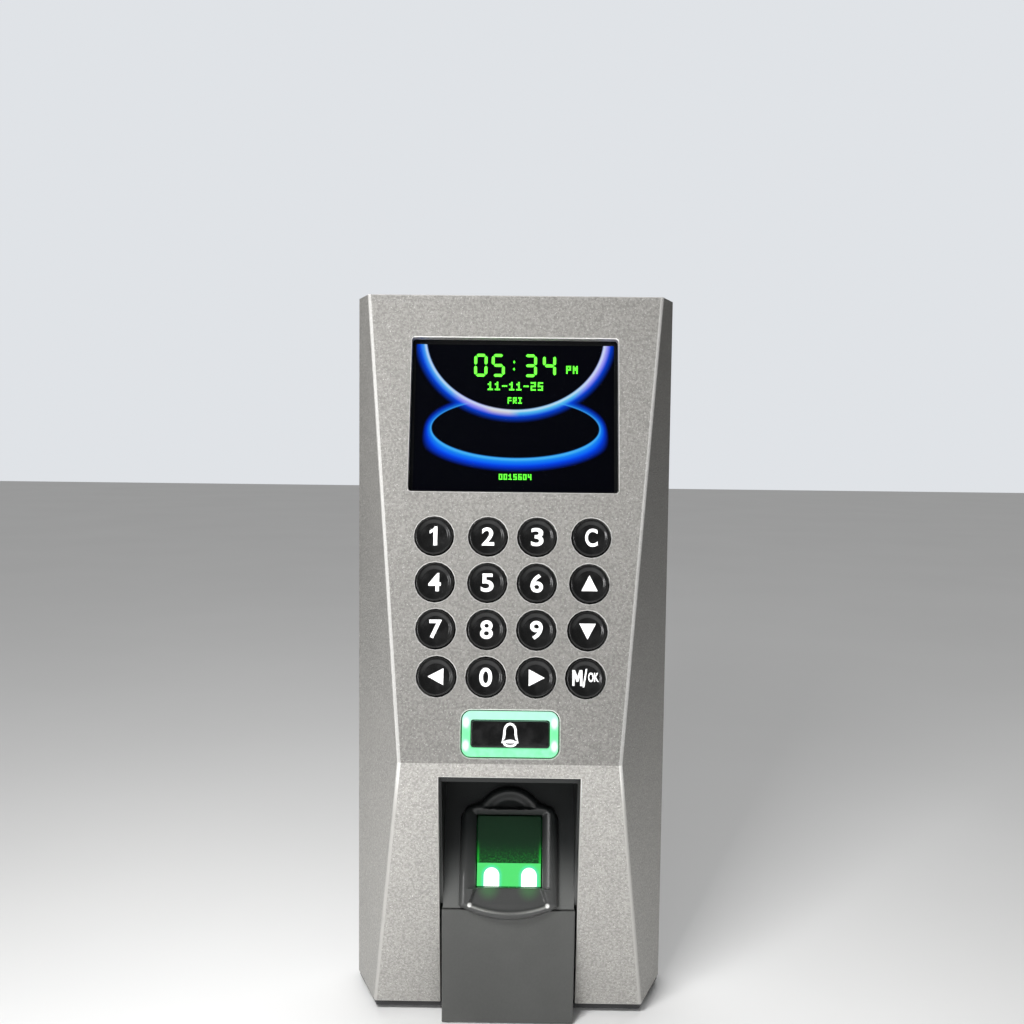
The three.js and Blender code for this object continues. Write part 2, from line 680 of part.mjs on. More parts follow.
// ---------------------------------------------------------------- chin cover
function chinCover() {
  const top = recessFootDrop + fitGap;
  const foot = caseHeight + chinOverhang;
  const outline = [
    sidePoint(recessFootDepth + 0.2, top),
    sidePoint(chinFootDepth, foot),
    sidePoint(chinFootDepth - chinCheek, foot),
    sidePoint(recessFootDepth + 0.2 - chinCheek, top),
  ];
  const hollow = inset(outline, chinWall);
  hollow[2].x += 2 * chinWall;
  hollow[3].x += 2 * chinWall;
  return without(solidOf(sideways(outline, chinHalfWidth)), sideways(hollow, chinHalfWidth - chinWall));
}
add(terminal, "chin_cover", chinCover(), materials.chinPlastic);

// ---------------------------------------------------------------- finger guide
// An arc over the centre line from one side to the other, bulging up or down the floor.
function bulge(shape, half, run, rise, towardsTop) {
  const radius = arcRadius(half, rise);
  const reach = Math.asin(half / radius);
  if (towardsTop) {
    shape.absarc(0, -run + rise - radius, radius, Math.PI / 2 + reach, Math.PI / 2 - reach, true);
  } else {
    shape.absarc(0, -run - rise + radius, radius, -Math.PI / 2 + reach, -Math.PI / 2 - reach, true);
  }
}

function fingerGuide() {
  const outline = new THREE.Shape();
  outline.moveTo(-guideHalfWidth, -lipRun);
  outline.lineTo(-guideHalfWidth, -guideShoulderRun);
  outline.lineTo(-guideWingHalf, -guideWingRun);
  bulge(outline, archHalfWidth, archFootRun, archRise, true);
  outline.lineTo(guideWingHalf, -guideWingRun);
  outline.lineTo(guideHalfWidth, -guideShoulderRun);
  bulge(outline, guideHalfWidth, lipRun, lipBulge, false);

  const pocket = new THREE.Shape();
  const pocketHalf = archHalfWidth - archPocketInset;
  pocket.moveTo(-pocketHalf, -windowTopRun + 1);
  bulge(pocket, pocketHalf, archFootRun, archRise - archPocketInset, true);
  pocket.lineTo(pocketHalf, -windowTopRun + 1);

  const scoop = new THREE.Shape();
  scoop.moveTo(-windowHalfWidth, -windowFootRun + 1);
  scoop.lineTo(windowHalfWidth, -windowFootRun + 1);
  bulge(scoop, scoopFootHalf, scoopFootRun, scoopBulge, false);

  return without(solidOf(prism(outline, fitGap, guideRise, 8)),
    prism(floorRect(windowHalfWidth, windowTopRun, windowFootRun), -1, guideRise + 1),
    prism(pocket, archPocketFloor, guideRise + 1, 6),
    prism(scoop, scoopFloor, guideRise + 1, 6));
}
add(floor, "finger_guide", fingerGuide(), materials.shroudPlastic);

// ---------------------------------------------------------------- optical sensor
// Side-view outlines of the optics are (run, height above the floor).
const prismTopRun = windowTopRun + fitGap;
const prismFootRun = windowFootRun - fitGap;
const prismHalf = windowHalfWidth - fitGap;
const toeEnd = prismFootRun - prismToeRun;
const acrossFloor = new THREE.Matrix4().makeBasis(
  new THREE.Vector3(0, -1, 0), new THREE.Vector3(0, 0, 1), new THREE.Vector3(-1, 0, 0));

const prismOutline = [
  new THREE.Vector2(prismTopRun, platenTop),
  new THREE.Vector2(prismFootRun, platenTop),
  new THREE.Vector2(prismFootRun, prismToe),
  new THREE.Vector2(toeEnd, prismRear),
  new THREE.Vector2(prismTopRun, prismRear),
];
add(floor, "platen_prism",
  prism(prismOutline, -prismHalf, prismHalf).applyMatrix4(acrossFloor), materials.greenGlass);

// The light board lies along the prism's slanted face, its local Z pointing at the glass.
const toeAngle = Math.atan2(prismToe - prismRear, prismToeRun);
const toeLength = Math.hypot(prismToeRun, prismToe - prismRear);
const lampGroup = new THREE.Group();
lampGroup.position.set(0, -(prismFootRun + toeEnd) / 2, (prismToe + prismRear) / 2);
lampGroup.rotation.x = -toeAngle;
floor.add(lampGroup);
add(lampGroup, "light_board", new THREE.BoxGeometry(2 * prismHalf, toeLength, 1).translate(
  0, 0, -ledBoardGap - 0.5), materials.board);
const ledProfile = [
  [0, -ledBoardGap + fitGap],
  [ledRadius, -ledBoardGap + fitGap],
  [ledRadius, -ledBoardGap + ledHeight - ledRadius / 2],
  [ledRadius / 2, -ledBoardGap + ledHeight],
  [0, -ledBoardGap + ledHeight],
];
for (const [name, side] of [["led_left", -1], ["led_right", 1]]) {
  add(lampGroup, name, turned(ledProfile, 12), materials.lamp).position.x = side * ledSpread;
}

const sensorOptics = new THREE.Group();
sensorOptics.position.y = -lensRun;
floor.add(sensorOptics);
add(sensorOptics, "lens_barrel", bar(lensBarrelRadius, barrelFront - lensBarrelLength, barrelFront, 14),
  materials.blackPlastic);
const sensorBoardRear = sensorBoardFront - boardThickness;
const screwBores = sensorPostPlaces.map(({ x }) =>
  bar(sensorScrewRadius + boreSlack, sensorBoardRear - 1, sensorBoardFront + 1, 8).translate(x, 0, 0));
add(sensorOptics, "sensor_board", without(
  solidOf(prism(roundedRect(2 * sensorBoardHalf, sensorBoardHeight, 1),
    sensorBoardRear, sensorBoardFront, 2)),
  ...screwBores), materials.board);
const smallScrew = (radius, head, headHeight, length) => [
  [0, -headHeight], [head, -headHeight], [head, 0], [radius, 0], [radius, length], [0, length]];
sensorPostPlaces.forEach(({ x }, i) => {
  const screw = turned(smallScrew(sensorScrewRadius, 1.7, 0.9, 5), 8);
  add(sensorOptics, `sensor_screw_${i + 1}`, screw, materials.steel)
    .position.set(x, 0, sensorBoardRear - fitGap);
});

// ---------------------------------------------------------------- main board
const boardTop = zAt(mainBoardTopDrop);
const boardFoot = boardTop - mainBoardHeight;
const boardFront = mainBoardReach + boardThickness;
add(terminal, "main_board", without(
  solidOf(outward(roundedRect(mainBoardWidth, mainBoardHeight, 2, 0, (boardTop + boardFoot) / 2),
    mainBoardReach, boardFront, 3)),
  ...mainBoardPlaces.map(({ x, z }) =>
    post(boardScrewRadius + boreSlack, x, z, mainBoardReach - 1, boardFront + 1, 10))), materials.board);

mainBoardPlaces.forEach(({ x, z }, i) => {
  const profile = smallScrew(boardScrewRadius, 2.3, 1.2, 5);
  add(terminal, `board_screw_${i + 1}`,
    turned(profile, 10).applyMatrix4(fromWall).rotateZ(Math.PI), materials.steel)
    .position.set(x, -(boardFront + fitGap), z);
});
caseScrewPlaces.forEach(({ x, z }, i) => {
  const profile = smallScrew(caseScrewRadius, caseScrewHead, caseScrewHeadHeight, caseScrewLength);
  add(terminal, `case_screw_${i + 1}`, turned(profile, 10).applyMatrix4(fromWall), materials.steel)
    .position.set(x, -(tubRear + caseScrewHeadHeight + fitGap / 2), z);
});

// Sockets hang from the board's rear face and stand clear of the cable outlet.
const socketReach = tubInner + 0.6;
const socketTopZ = outletZ - outletHeight / 2 - outletMargin;
function socketBlock(name, lowX, highX, height, ways) {
  const body = box(lowX, highX, socketReach, mainBoardReach - fitGap, socketTopZ - height, socketTopZ);
  const pitch = (highX - lowX - 1.6) / ways;
  const wells = Array.from({ length: ways }, (_, way) => {
    const start = lowX + 0.8 + way * pitch + 0.3;
    return box(start, start + pitch - 0.6, socketReach + 1, mainBoardReach - 1.2,
      socketTopZ - height + 1.5, socketTopZ + 1);
  });
  add(terminal, name, without(solidOf(body), ...wells), materials.socket);
}
socketBlock("network_socket", -25, -10.5, 10, 4);
socketBlock("power_socket", -8, 6, 10, 3);
socketBlock("lock_socket", 8.5, 25, 10, 4);

const partFoot = boardFront + fitGap;
add(terminal, "door_relay", box(-27, -11, partFoot, partFoot + 12, zAt(ridgeDrop) + 2, zAt(ridgeDrop) + 21),
  materials.blackPlastic);
add(terminal, "clock_battery", post(10, 16, zAt(ridgeDrop) + 13, partFoot, partFoot + 3.2, 20),
  materials.steel);
add(terminal, "beeper", without(solidOf(post(6, 16, boardTop - 20, partFoot, partFoot + 7, 16)),
  post(1.2, 16, boardTop - 20, partFoot + 4, partFoot + 8, 8)), materials.blackPlastic);

const speakerProfile = [
  [0, 1], [4, 1], [speakerRadius - 2, 0], [speakerRadius, 0],
  [speakerRadius, 1.6], [6, speakerThickness], [0, speakerThickness]];
add(terminal, "speaker", turned(speakerProfile, 20).applyMatrix4(fromWall), materials.blackPlastic)
  .position.set(0, -(tubInner + fitGap), grilleZ);

// ---------------------------------------------------------------- tamper switch
const tamperTip = fitGap;
const tamperStem = 1.3;
const stemEnd = tamperSwitchReach + 1.6;
const plungerProfile = [
  [0, tamperTip], [tamperRadius, tamperTip], [tamperRadius, tamperFlangeReach],
  [tamperRadius + 1, tamperFlangeReach], [tamperRadius + 1, tamperFlangeReach + 0.8],
  [tamperStem, tamperFlangeReach + 0.8], [tamperStem, stemEnd], [0, stemEnd]];
add(terminal, "tamper_plunger", turned(plungerProfile, 12).applyMatrix4(fromWall), materials.keyPlastic)
  .position.set(tamperX, 0, tamperZ);
add(terminal, "tamper_switch", without(
  solidOf(box(tamperX - tamperBody / 2, tamperX + tamperBody / 2, tamperSwitchReach,
    tamperSwitchReach + tamperBodyDepth, tamperZ - tamperBody / 2, tamperZ + tamperBody / 2)),
  post(tamperStem + boreSlack, tamperX, tamperZ, tamperSwitchReach - 1, stemEnd + tamperTravel + 0.4, 10)),
  materials.blackPlastic);

// ---------------------------------------------------------------- lock screw
const lockSeat = zAt(footDrop + footThickness) + lockHeadHeight + fitGap / 2;
const lockLength = plateFoot + plateThickness + 1.5 - lockSeat;
add(terminal, "lock_screw", turned(smallScrew(lockRadius, lockHead, lockHeadHeight, lockLength), 12),
  materials.steel).position.set(0, -lockReach, lockSeat);

export default terminal;
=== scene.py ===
"""Looks of a wall-mounted fingerprint access terminal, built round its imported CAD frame.

Metres, +Z up, the front towards -Y. Pieces on the raked face are made flat, in the face's own
frame (x right, y up the face, z out of it), and pieces on the recess floor in the floor's frame.
"""

import json
import math

import bmesh
import bpy
from mathutils import Matrix, Vector


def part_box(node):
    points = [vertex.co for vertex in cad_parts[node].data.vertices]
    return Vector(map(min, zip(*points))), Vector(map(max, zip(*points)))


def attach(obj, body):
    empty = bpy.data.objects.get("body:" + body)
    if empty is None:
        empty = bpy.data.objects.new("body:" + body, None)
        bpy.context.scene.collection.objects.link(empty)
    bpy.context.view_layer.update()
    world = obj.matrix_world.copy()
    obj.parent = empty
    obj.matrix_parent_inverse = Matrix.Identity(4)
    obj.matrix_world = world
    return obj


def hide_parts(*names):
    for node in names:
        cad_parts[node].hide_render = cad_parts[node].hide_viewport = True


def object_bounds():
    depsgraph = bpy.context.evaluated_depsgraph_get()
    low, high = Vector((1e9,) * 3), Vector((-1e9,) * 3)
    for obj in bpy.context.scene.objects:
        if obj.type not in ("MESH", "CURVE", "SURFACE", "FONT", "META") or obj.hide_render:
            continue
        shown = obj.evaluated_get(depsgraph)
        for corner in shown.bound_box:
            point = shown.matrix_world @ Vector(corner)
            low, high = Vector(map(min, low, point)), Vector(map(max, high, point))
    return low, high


MM = 0.001
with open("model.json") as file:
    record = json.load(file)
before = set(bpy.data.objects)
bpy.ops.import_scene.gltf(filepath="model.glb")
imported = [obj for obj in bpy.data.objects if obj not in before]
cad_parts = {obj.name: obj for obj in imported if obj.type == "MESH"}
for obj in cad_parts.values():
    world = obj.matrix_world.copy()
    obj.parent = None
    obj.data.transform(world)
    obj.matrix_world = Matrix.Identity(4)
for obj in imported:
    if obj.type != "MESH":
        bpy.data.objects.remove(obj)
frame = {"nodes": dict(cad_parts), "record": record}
cad_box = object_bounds()
NODES = frame["nodes"]
RECORD = frame["record"]
BODY_OF = {node: body for body, nodes in RECORD["behaviour"]["bodies"].items() for node in nodes}
SLOT_OF = {part["node"]: part["material_slot"] for part in RECORD["subparts"]}
TERMINAL = "terminal"
BLACK = (0, 0, 0)


# ---------------------------------------------------------------- shader writing
def adds_maths(operation, swapped=False):
    """An operator that adds one Math node; swapped puts its own value last."""
    def operator(self, *others):
        values = (*others, self) if swapped else (self, *others)
        return self.finish.node("ShaderNodeMath", {"operation": operation}, dict(enumerate(values)))
    return operator


class Value:
    """The output of a shader node; arithmetic on it adds Math nodes."""

    def __init__(self, finish, socket):
        self.finish = finish
        self.socket = socket

    __add__ = __radd__ = adds_maths("ADD")
    __mul__ = __rmul__ = adds_maths("MULTIPLY")
    __sub__ = adds_maths("SUBTRACT")
    __rsub__ = adds_maths("SUBTRACT", swapped=True)
    __truediv__ = adds_maths("DIVIDE")
    __pow__ = adds_maths("POWER")
    __abs__ = adds_maths("ABSOLUTE")
    root = adds_maths("SQRT")
    above = adds_maths("GREATER_THAN")
    least = adds_maths("MINIMUM")
    most = adds_maths("MAXIMUM")

    def ramp(self, low, high, start=0.0, end=1.0):
        """Runs smoothly from start to end while this goes from low to high."""
        settings = {"interpolation_type": "SMOOTHSTEP"}
        inputs = {"Value": self, "From Min": low, "From Max": high, "To Min": start, "To Max": end}
        return self.finish.node("ShaderNodeMapRange", settings, inputs)

    def fade(self, low, high):
        return self.ramp(low, high, 1.0, 0.0)


def distance(across, up):
    return (across * across + up * up).root()


class Finish:
    """One procedural material on a Principled shader."""

    def __init__(self, name, colour, roughness, metallic=0.0, **sockets):
        self.material = bpy.data.materials.new(name)
        self.material.use_nodes = True
        self.tree = self.material.node_tree
        self.shader = self.tree.nodes["Principled BSDF"]
        self.shade({"Base Color": colour, "Roughness": roughness, "Metallic": metallic})
        self.shade({key.replace("_", " "): value for key, value in sockets.items()})

    def node(self, kind, settings=None, inputs=None, output=0):
        """A new node: its settings first, then the values or links of its inputs."""
        made = self.tree.nodes.new(kind)
        for key, value in (settings or {}).items():
            if key == "stops":
                self.set_stops(made.color_ramp, value)
            else:
                setattr(made, key, value)
        for key, value in (inputs or {}).items():
            self.feed(made.inputs[key], value)
        return Value(self, made.outputs[output])

    @staticmethod
    def set_stops(ramp, stops):
        while len(ramp.elements) < len(stops):
            ramp.elements.new(1.0)
        for element, (position, colour) in zip(ramp.elements, stops):
            element.position = position
            element.color = rgba(colour)

    def feed(self, socket, value):
        if isinstance(value, Value):
            self.tree.links.new(value.socket, socket)
        elif socket.type == "RGBA":
            socket.default_value = rgba(value)
        else:
            socket.default_value = value

    def shade(self, sockets):
        for name, value in sockets.items():
            self.feed(self.shader.inputs[name], value)

    def place(self):
        return self.node("ShaderNodeTexCoord", output="Object")

    def axis(self, letter, vector=None):
        """One axis of a vector, or of where a point lies in its object's own frame."""
        inputs = {0: vector or self.place()}
        return self.node("ShaderNodeSeparateXYZ", inputs=inputs, output=letter)

    def noise(self, size, detail=2.0, roughness=0.5, vector=None):
        """Soft blotches about this size, between 0 and 1."""
        inputs = {"Vector": vector or self.place(), "Scale": 1 / size, "Detail": detail,
                  "Roughness": roughness}
        return self.node("ShaderNodeTexNoise", inputs=inputs)

    def mix(self, factor, first, second):
        """From the first colour to the second as the factor goes from 0 to 1."""
        return self.node("ShaderNodeMix", {"data_type": "RGBA"},
                         {"Factor": factor, 6: first, 7: second}, output=2)

    def bump(self, height, depth, strength):
        inputs = {"Height": height, "Distance": depth, "Strength": strength}
        return self.node("ShaderNodeBump", inputs=inputs)


def rgba(colour):
    return (*colour, 1.0) if len(colour) == 3 else colour


# ---------------------------------------------------------------- finishes
def silver_paint(name, dark, light, glint, low=None):
    """Grained silver paint: a fine hammered bump with flecks that catch the light.

    It is painted darker where it faces upwards and high on the flanks: painted shade, for light that
    falls mostly from the front and below. The low colour, when there is one, takes over below the
    waist of the case.
    """
    paint = Finish(name, light, 0.5, 0.3)
    grain = paint.noise(0.6 * MM, 2.0, 0.6)
    fleck = paint.noise(0.28 * MM, 1.0)
    cloud = paint.noise(9 * MM, 2.0)
    shade = grain.ramp(0.3, 0.7)
    tone = paint.mix(0.35 * cloud, paint.mix(shade, dark, light), dark)
    height = paint.axis("Z")
    # Below the waist the low colour takes over; on the edges it makes a fainter painted highlight.
    if low:
        above_waist = height.ramp(-36 * MM, -22 * MM)
        tone, glint = paint.mix(above_waist, low, tone), paint.mix(above_waist, low, glint)
    # Painted shade: darker where the surface faces up, and high on the flanks.
    faces = paint.node("ShaderNodeTexCoord", output="Normal")
    looks_up = paint.axis("Z", faces).ramp(0.08, 0.16)
    looks_aside = abs(paint.axis("X", faces)).ramp(0.5, 0.8)
    painted_shade_up = looks_up * height.ramp(-20 * MM, 40 * MM, 0.4, 0.34)
    painted_shade_flank = looks_aside * height.ramp(-60 * MM, 30 * MM, 0.0, 0.33)
    flecked = paint.mix(fleck.ramp(0.62, 0.75), tone, glint)
    paint.shade({
        "Base Color": paint.mix(painted_shade_up + painted_shade_flank, flecked, BLACK),
        "Roughness": 0.46 + 0.16 * shade,
        "Normal": paint.bump(grain + 0.4 * fleck, 0.22 * MM, 0.7),
    })
    return paint.material


def moulded(name, colour, roughness, wear_gain, depth, size=0.35 * MM, fade=None):
    """Moulded plastic with a fine spark-eroded texture and faint handling marks.

    The wear gain is how many times brighter the marks are. A fade is an axis, its start and end in
    metres, and the paler colour painted there: darker at the start as painted shade, paler at the end
    as painted light.
    """
    plastic = Finish(name, colour, roughness)
    grain = plastic.noise(size, 2.0)
    wear = plastic.noise(14 * MM, 3.0)
    worn = [channel * wear_gain for channel in colour]
    tone = plastic.mix(wear.ramp(0.35, 0.7), colour, worn)
    if fade:
        axis, start, end, lit_colour = fade
        # Painted shade fading to painted light along the axis.
        tone = plastic.mix(plastic.axis(axis).ramp(start, end), tone, lit_colour)
    plastic.shade({
        "Base Color": plastic.mix(0.18 * grain, tone, BLACK),
        "Roughness": roughness - 0.05 + 0.1 * wear,
        "Normal": plastic.bump(grain, depth, 0.5),
    })
    return plastic.material


def satin_black():
    gloss = Finish("key_plastic", (0.006, 0.006, 0.006), 0.24, Specular_IOR_Level=0.45)
    smear = gloss.noise(3 * MM, 3.0)
    gloss.shade({
        "Base Color": gloss.mix(smear.ramp(0.4, 0.75), (0.005, 0.005, 0.005), (0.011, 0.011, 0.011)),
        "Roughness": 0.14 + 0.14 * smear,
    })
    return gloss.material


def print_white():
    ink = Finish("legend_white", (0.82, 0.82, 0.82), 0.45)
    speck = ink.noise(0.5 * MM, 2.0)
    # The ink also glows faintly white: painted light that keeps the print bright.
    ink.shade({"Base Color": ink.mix(speck, (0.74, 0.74, 0.74), (0.9, 0.9, 0.9)),
               "Emission Color": (1, 1, 1), "Emission Strength": 0.12})
    return ink.material


def lit_ring(half_width, half_height):
    """Milky light guide: brightest where its four lamps stand, in the corners."""
    guide = Finish("ring_diffuser", (0.05, 0.18, 0.1), 0.35, Emission_Strength=1.0)
    across = abs(guide.axis("X")) - half_width
    up = abs(guide.axis("Y")) - half_height
    lamp = (across * across + 0.4 * up * up).root().fade(0.35 * MM, 1.1 * MM)
    haze = guide.noise(1.6 * MM, 2.0)
    level = up.ramp(-3 * MM, 0.5 * MM)
    body = guide.mix(haze, (0.12, 0.78, 0.24), (0.2, 0.86, 0.34))
    body = guide.mix(0.5 * level * haze, body, (0.45, 0.9, 0.75))
    paler_top = guide.axis("Y").ramp(0.5 * MM, 4.0 * MM, 0.0, 0.7)
    body = guide.mix(paler_top, body, (0.55, 0.87, 0.76))
    guide.shade({"Emission Color": guide.mix(lamp, body, (1.0, 1.0, 1.0)),
                 "Base Color": guide.mix(haze, (0.04, 0.16, 0.08), (0.06, 0.2, 0.11))})
    return guide.material


def brushed(name, colour, roughness):
    """Bare metal with fine lines across its height, dulled in blotches."""
    metal = Finish(name, colour, roughness, 1.0)
    squeezed = metal.node("ShaderNodeMapping", inputs={"Vector": metal.place(), "Scale": (1, 1, 25)})
    lines = metal.noise(9 * MM, 4.0, 0.6, squeezed)
    blotch = metal.noise(6 * MM, 2.0)
    dull = [channel * 0.8 for channel in colour]
    metal.shade({"Base Color": metal.mix(blotch.ramp(0.3, 0.7), colour, dull),
                 "Roughness": roughness - 0.08 + 0.2 * lines,
                 "Normal": metal.bump(lines, 0.02 * MM, 0.4)})
    return metal.material


def circuit_board():
    """Green solder mask over patches of tracks; the boards stand upright, and so do the rows."""
    mask, copper = (0.015, 0.11, 0.045), (0.05, 0.26, 0.12)
    board = Finish("board", mask, 0.35, Coat_Weight=0.3)
    upright = board.node("ShaderNodeMapping",
                         inputs={"Vector": board.place(), "Rotation": (math.pi / 2, 0, 0)})
    rows = board.node("ShaderNodeTexBrick", {"offset": 0.37, "squash": 0.6, "squash_frequency": 3},
                      {"Vector": upright, "Scale": 1.0, "Brick Width": 3.4 * MM,
                       "Row Height": 1.3 * MM, "Mortar Size": 0.11 * MM, "Mortar Smooth": 0.1},
                      output="Fac")
    patch = board.noise(2.5 * MM, 1.0).ramp(0.45, 0.55)
    trace = rows * patch
    board.shade({"Base Color": board.mix(trace, mask, copper),
                 "Normal": board.bump(trace, 0.03 * MM, 0.5)})
    return board.material


def rubber():
    soft = Finish("rubber", (0.03, 0.03, 0.03), 0.8)
    dust = soft.noise(2 * MM, 4.0)
    soft.shade({"Base Color": soft.mix(dust, (0.02, 0.02, 0.02), (0.05, 0.05, 0.05)),
                "Normal": soft.bump(dust, 0.05 * MM, 0.4)})
    return soft.material


def guide_plastic(lamp_run, lamp_spread):
    """Satin black, painted darker near the guide's top as painted shade under the overhang and paler
    towards its foot, with a painted highlight along the crest of its scoop. The crest ends in a
    painted glint at either corner, and the lamps spill some green beside them, painted as a glow on
    the plastic.
    """
    satin = Finish("guide_plastic", (0.01, 0.011, 0.011), 0.33, Emission_Strength=1.0)
    run = 0.0 - satin.axis("Y")
    grain = satin.noise(0.35 * MM, 2.0)
    # Painted shade near the top, painted light towards the foot.
    tone = satin.mix(run.ramp(9 * MM, 27 * MM), (0.007, 0.008, 0.008), (0.048, 0.049, 0.048))
    across = abs(satin.axis("X"))
    crest_radius = arc_radius(SCOOP_HALF, SCOOP_RISE)
    from_top = run - (SCOOP_RUN + SCOOP_RISE - crest_radius)
    off_crest = abs(distance(across, from_top) - crest_radius - 0.3 * MM)
    # Painted highlight along the crest of the scoop.
    crest = off_crest.fade(0.05 * MM, 0.45 * MM) * across.fade(9.0 * MM, 10.0 * MM)
    tone = satin.mix(crest * across.ramp(0, 8.5 * MM, 0.45, 1.0), tone, (0.22, 0.22, 0.21))
    corner, foot = across - SCOOP_HALF, run - SCOOP_RUN - 0.2 * MM
    corner_glint = distance(corner, foot).fade(0.25 * MM, 0.7 * MM)
    tone = satin.mix(corner_glint, tone, (0.7, 0.7, 0.68))
    side, beyond = across - lamp_spread, run - lamp_run
    # Painted glow of the lamps' light on the plastic.
    spill = distance(side, beyond).fade(0.5 * MM, 3.6 * MM)
    satin.shade({"Base Color": satin.mix(0.25 * grain, tone, BLACK),
                 "Roughness": 0.28 + 0.1 * grain,
                 "Emission Color": satin.mix(spill, BLACK, (0.006, 0.09, 0.01)),
                 "Normal": satin.bump(grain, 0.04 * MM, 0.5)})
    return satin.material


def window_glass(name, tint, alpha):
    """A thin polished window: what lies behind shows through, under a faint reflection."""
    glass = Finish(name, tint, 0.04, Specular_IOR_Level=0.2)
    smudge = glass.noise(9 * MM, 3.0)
    glass.shade({"Alpha": alpha, "Roughness": smudge.ramp(0.4, 0.8, 0.02, 0.1)})
    return glass.material


def glow(name, colour, strength, core=None):
    lamp = Finish(name, colour, 0.4, Emission_Strength=strength)
    flicker = lamp.noise(1.5 * MM, 1.0)
    lamp.shade({"Emission Color": lamp.mix(flicker, colour, core or colour)})
    return lamp.material


SURFACES = {
    "silver_paint": silver_paint("silver_paint", (0.27, 0.262, 0.248), (0.45, 0.44, 0.415),
                                 (0.66, 0.65, 0.62)),
    # The rounded edges of the case are painted lighter: a painted highlight, fainter below the waist.
    "silver_edge_highlight": silver_paint("silver_edge_highlight", (0.6, 0.59, 0.57), (0.7, 0.69, 0.67),
                                (0.85, 0.84, 0.82), (0.42, 0.41, 0.39)),
    "black_plastic": moulded("black_plastic", (0.016, 0.016, 0.017), 0.5, 1.6, 0.05 * MM),
    "chin_plastic": moulded("chin_plastic", (0.056, 0.057, 0.0545), 0.42, 1.15, 0.12 * MM, 0.55 * MM),
    "recess_plastic": moulded("recess_plastic", (0.012, 0.013, 0.013), 0.36, 1.3, 0.04 * MM),
    # Painted dark high in the recess as painted shade under the overhang, paler near the chin.
    "recess_walls": moulded("recess_walls", (0.01, 0.011, 0.011), 0.45, 1.2, 0.06 * MM,
                            fade=("Z", -46 * MM, -61 * MM, (0.09, 0.092, 0.089))),
    "panel_black": moulded("panel_black", (0.002, 0.002, 0.002), 0.6, 1.5, 0.02 * MM),
    "key_plastic": satin_black(),
    "rubber": rubber(),
    "board": circuit_board(),
    "steel": brushed("steel", (0.56, 0.56, 0.57), 0.34),
    "plate_zinc": brushed("plate_zinc", (0.55, 0.56, 0.58), 0.42),
    "socket_plastic": moulded("socket_plastic", (0.72, 0.69, 0.6), 0.5, 0.92, 0.03 * MM),
    "display_glass": window_glass("display_glass", (0.004, 0.005, 0.007), 0.06),
    "platen_glass": window_glass("platen_glass", (0.005, 0.03, 0.01), 0.08),
    "lamp": glow("lamp", (0.5, 1.0, 0.6), 2.0),
    "legend": print_white(),
}


# ---------------------------------------------------------------- shared sums
def share_of(value, low, high):
    """How far value has come from low to high, kept between 0 and 1."""
    return min(max((value - low) / (high - low), 0.0), 1.0)


def smooth(value, low, high):
    """The same with a soft start and end."""
    share = share_of(value, low, high)
    return share * share * (3 - 2 * share)


def turns(start, stop, step):
    """Angles in radians, from whole degrees."""
    return [math.radians(angle) for angle in range(start, stop, step)]


def arc_radius(half, rise):
    """The radius of an arc that spans half to either side and rises this far."""
    return (half ** 2 + rise ** 2) / (2 * rise)


# ---------------------------------------------------------------- frames and pieces
def vertices_of(node, base=None):
    """A CAD node's vertices, in the row frame or in a frame of its own."""
    inverse = base.inverted() if base else Matrix.Identity(4)
    return [inverse @ vertex.co for vertex in NODES[node].data.vertices]


def spread(node, base):
    """The lowest and highest corners of a CAD node along a frame's own axes."""
    points = vertices_of(node, base)
    low, high = ([pick(point[i] for point in points) for i in range(3)] for pick in (min, max))
    return Vector(low), Vector(high)


def frame_on(node, origin):
    """A frame at origin, square to the node's widest face that looks to the front."""
    areas = {}
    for polygon in NODES[node].data.polygons:
        key = tuple(round(part, 3) for part in polygon.normal)
        areas[key] = areas.get(key, 0.0) + polygon.area
    normal = Vector(max((key for key in areas if key[1] < -0.5), key=areas.get)).normalized()
    across = Vector((1, 0, 0))
    base = Matrix((across, normal.cross(across), normal)).transposed().to_4x4()
    base.translation = origin
    return base


def moved(base, x=0.0, y=0.0, z=0.0):
    """The frame with its origin moved along its own axes."""
    return base @ Matrix.Translation((x, y, z))


TOUCH = 0.01 * MM  # points nearer than this lie on the same plane
GUIDE_RISE = 2.8 * MM
case_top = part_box("front_case")[1].z
top_edge_y = min(point.y for point in vertices_of("front_case") if point.z > case_top - TOUCH)
FACE = frame_on("display_lens", Vector((0, top_edge_y, case_top)))
FLOOR = frame_on("finger_guide", Vector((0, 0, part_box("finger_guide")[1].z)))
FLOOR = moved(FLOOR, z=spread("finger_guide", FLOOR)[1].z - GUIDE_RISE)
FLOOR = moved(FLOOR, y=spread("finger_guide", FLOOR)[1].y)


def linked(name, data):
    """A new object in the scene."""
    made = bpy.data.objects.new(name, data)
    bpy.context.scene.collection.objects.link(made)
    return made


def evaluated_mesh(holder):
    """The mesh that an object's curve or modifiers give."""
    bpy.context.view_layer.update()
    return bpy.data.meshes.new_from_object(
        holder.evaluated_get(bpy.context.evaluated_depsgraph_get()))


def finish_mesh(mesh_maker, smooth_angle=None):
    """The bmesh as a mesh with its faces turned outwards, smooth where they bend gently."""
    bmesh.ops.recalc_face_normals(mesh_maker, faces=mesh_maker.faces)
    mesh = bpy.data.meshes.new("piece")
    mesh_maker.to_mesh(mesh)
    mesh_maker.free()
    if smooth_angle:
        mesh.shade_smooth()
        mesh.set_sharp_from_angle(angle=math.radians(smooth_angle))
    return mesh


